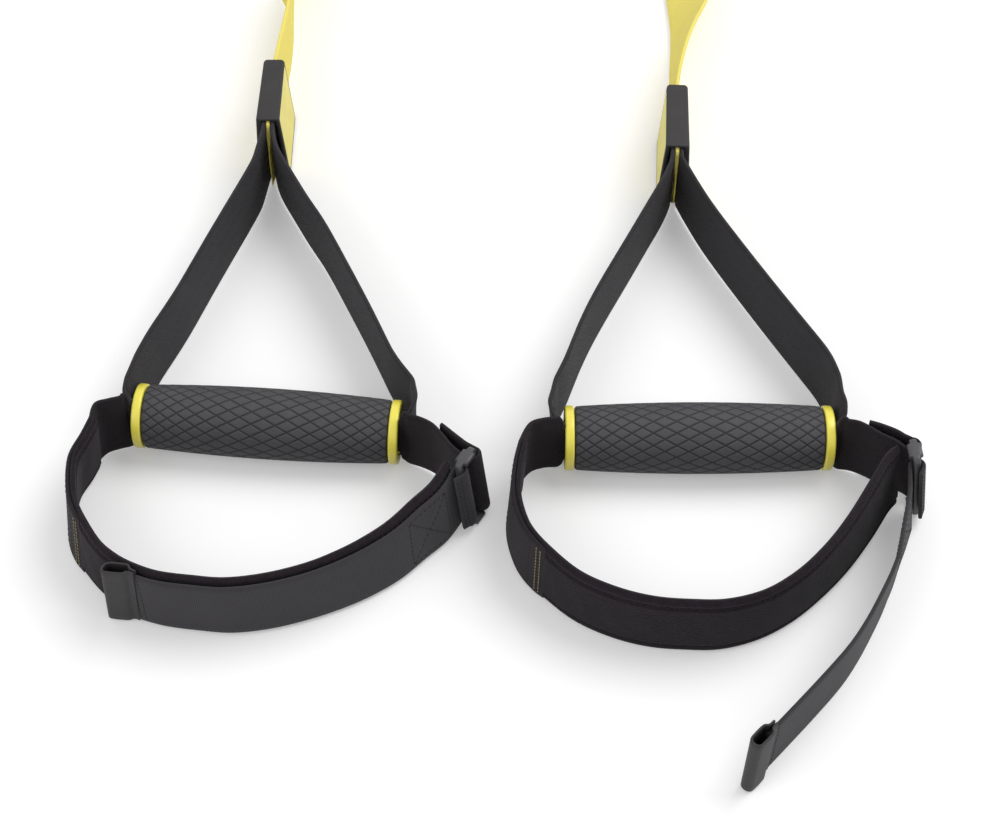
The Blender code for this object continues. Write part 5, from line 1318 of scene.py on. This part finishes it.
def make_carabiner():
    """A rod body with ears, and its gate."""
    drop = asin((BAR_CENTRE_Z - CARABINER_ROD - FLOOR_GAP) / CARABINER_LENGTH)
    place = Matrix.Translation((0, LOOP_REACH, BAR_CENTRE_Z)) @ Matrix.Rotation(-drop, 4, "X")
    spots = [Vector((x * CARABINER_HALF_WIDTH, y * CARABINER_LENGTH, 0))
             for x, y in smooth(CARABINER_SHARES, 6)]
    body = tube("clip_body", spots, CARABINER_ROD, "black_metal")
    put(body, "carabiner", "black_metal", "carabiner_body", place)
    gate_x, gate_y = spots[0].x, spots[0].y
    ear_end = GATE_FOOT_SHARE * CARABINER_LENGTH + EAR_HALF_WIDTH
    middle = Vector((gate_x, (gate_y - EAR_HALF_WIDTH + ear_end) / 2, 0))
    half_ear = (ear_end - gate_y + EAR_HALF_WIDTH) / 2
    tongue = GATE_TONGUE / 2
    for level, label in ((1, "upper"), (-1, "lower")):
        rows = []
        for inset, rise in EAR_PLAN:
            reach, height = EAR_HALF_WIDTH - inset, level * (tongue + GATE_PLAY + rise)
            loop = rounded_loop(box_corners(reach, half_ear - inset), reach * EAR_ROUNDING_SHARE, 8)
            rows.append([middle + Vector((*point, height)) for point in loop])
        put(swept("clip_ear_" + label, rows, "black_metal", 50), "carabiner", "black_metal", None, place)
    foot_y, head_y = gate_y + GATE_FOOT_GAP, GATE_HEAD_SHARE * CARABINER_LENGTH
    rod = [Vector((gate_x, mix(foot_y, head_y, share), 0)) for share in shares(GATE_STEPS)]
    gate = tube("clip_gate", rod, GATE_ROD, "steel")
    for vertex in gate.data.vertices:
        if vertex.co.y < ear_end:
            vertex.co.z = max(-tongue, min(tongue, vertex.co.z))
    put(gate, "gate", "steel", "carabiner_gate", place)


for side_name in SIDES:
    handle = handle_frame(side_name)
    make_handle_webbing(side_name, handle)
    make_yoke(side_name, handle)
    make_strap_end(side_name, handle)
    make_grip(side_name, handle @ Matrix.Translation((0, 0, GRIP_RADIUS)))
    make_cradle_web(side_name, handle)
    make_foot_pad(side_name, handle)
    make_cradle_ring(side_name, handle)
    make_closure(side_name, handle)
    make_main_strap(side_name)
    make_anchor_strap(side_name)
make_anchor_loop()
make_carabiner()

KEPT_NODES = {"cam_frame_": "black_metal", "cam_lever_": "black_metal", "cam_pin_": "steel",
              "cam_spring_": "steel", "adjustment_tab_": "rubber", "grip_tube_": "black_plastic",
              "anchor_collar": "rubber", "carabiner_pin": "steel"}
for node_name, kept_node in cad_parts.items():
    for name_start, kept_finish in KEPT_NODES.items():
        if node_name.startswith(name_start):
            for material_slot in kept_node.material_slots:
                material_slot.material = FINISHES[kept_finish]


# Floor, light and camera

FLOOR_HALF = 4.0
FLOOR_PLACE = (0, -0.5, 0)
FLOOR_COLOR = (0.80, 0.80, 0.80, 1)
FLOOR_GLOW = 0.26
GLOW_SPAN = (1.0, 2.4)
WORLD_LIGHT = 0.60
LAMP_TARGET = (0, -0.8, 0)
LAMPS = {"key": ((1.1, -0.35, 1.9), 1.6, 27.0), "fill": ((-1.3, -1.9, 1.5), 1.2, 8.0)}
CAMERA_SPOT = (0.0, -1.4907, 0.7305)
CAMERA_PITCH = radians(52)
LENS = 69.0
SENSOR = 36.0
CLIP_START, CLIP_END = 0.01, 50


def make_floor():
    finish = new_finish("floor", Base_Color=FLOOR_COLOR, Roughness=0.9, Specular_IOR_Level=0.0,
                        Emission_Color=(1, 1, 1, 1))
    distance = finish.node("ShaderNodeVectorMath", {0: finish.place()}, "Value", operation="LENGTH")
    strength = finish.span(distance, *GLOW_SPAN, FLOOR_GLOW, 1.0)
    finish.feed(finish.end["Emission Strength"],
                finish.math("MULTIPLY", finish.seen_directly(), strength))
    shape = bmesh.new()
    bmesh.ops.create_grid(shape, x_segments=1, y_segments=1, size=FLOOR_HALF)
    floor = link("floor", make_mesh("floor", shape, finish.owner))
    floor.location = FLOOR_PLACE


def make_world():
    world = bpy.data.worlds.new("studio")
    bpy.context.scene.world = world
    sky = Finish(world, "Background", Color=(1, 1, 1, 1))
    strength = sky.math("MULTIPLY_ADD", sky.seen_directly(), 1 - WORLD_LIGHT, WORLD_LIGHT)
    sky.feed(sky.end["Strength"], strength)


def add_lamp(name, spot, size, energy):
    data = bpy.data.lights.new(name, "AREA")
    data.shape, data.size, data.energy = "DISK", size, energy
    lamp = link(name, data)
    lamp.location = spot
    lamp.rotation_euler = (Vector(LAMP_TARGET) - Vector(spot)).to_track_quat("-Z", "Y").to_euler()


def make_camera():
    data = bpy.data.cameras.new("camera")
    data.lens, data.sensor_width = LENS, SENSOR
    data.clip_start, data.clip_end = CLIP_START, CLIP_END
    camera = link("camera", data)
    camera.location = CAMERA_SPOT
    camera.rotation_euler = (HALF_PI - CAMERA_PITCH, 0, 0)
    bpy.context.scene.camera = camera


make_floor()
make_world()
for lamp_name, lamp_values in LAMPS.items():
    add_lamp(lamp_name, *lamp_values)
make_camera()
bpy.context.scene.view_settings.view_transform = "Standard"
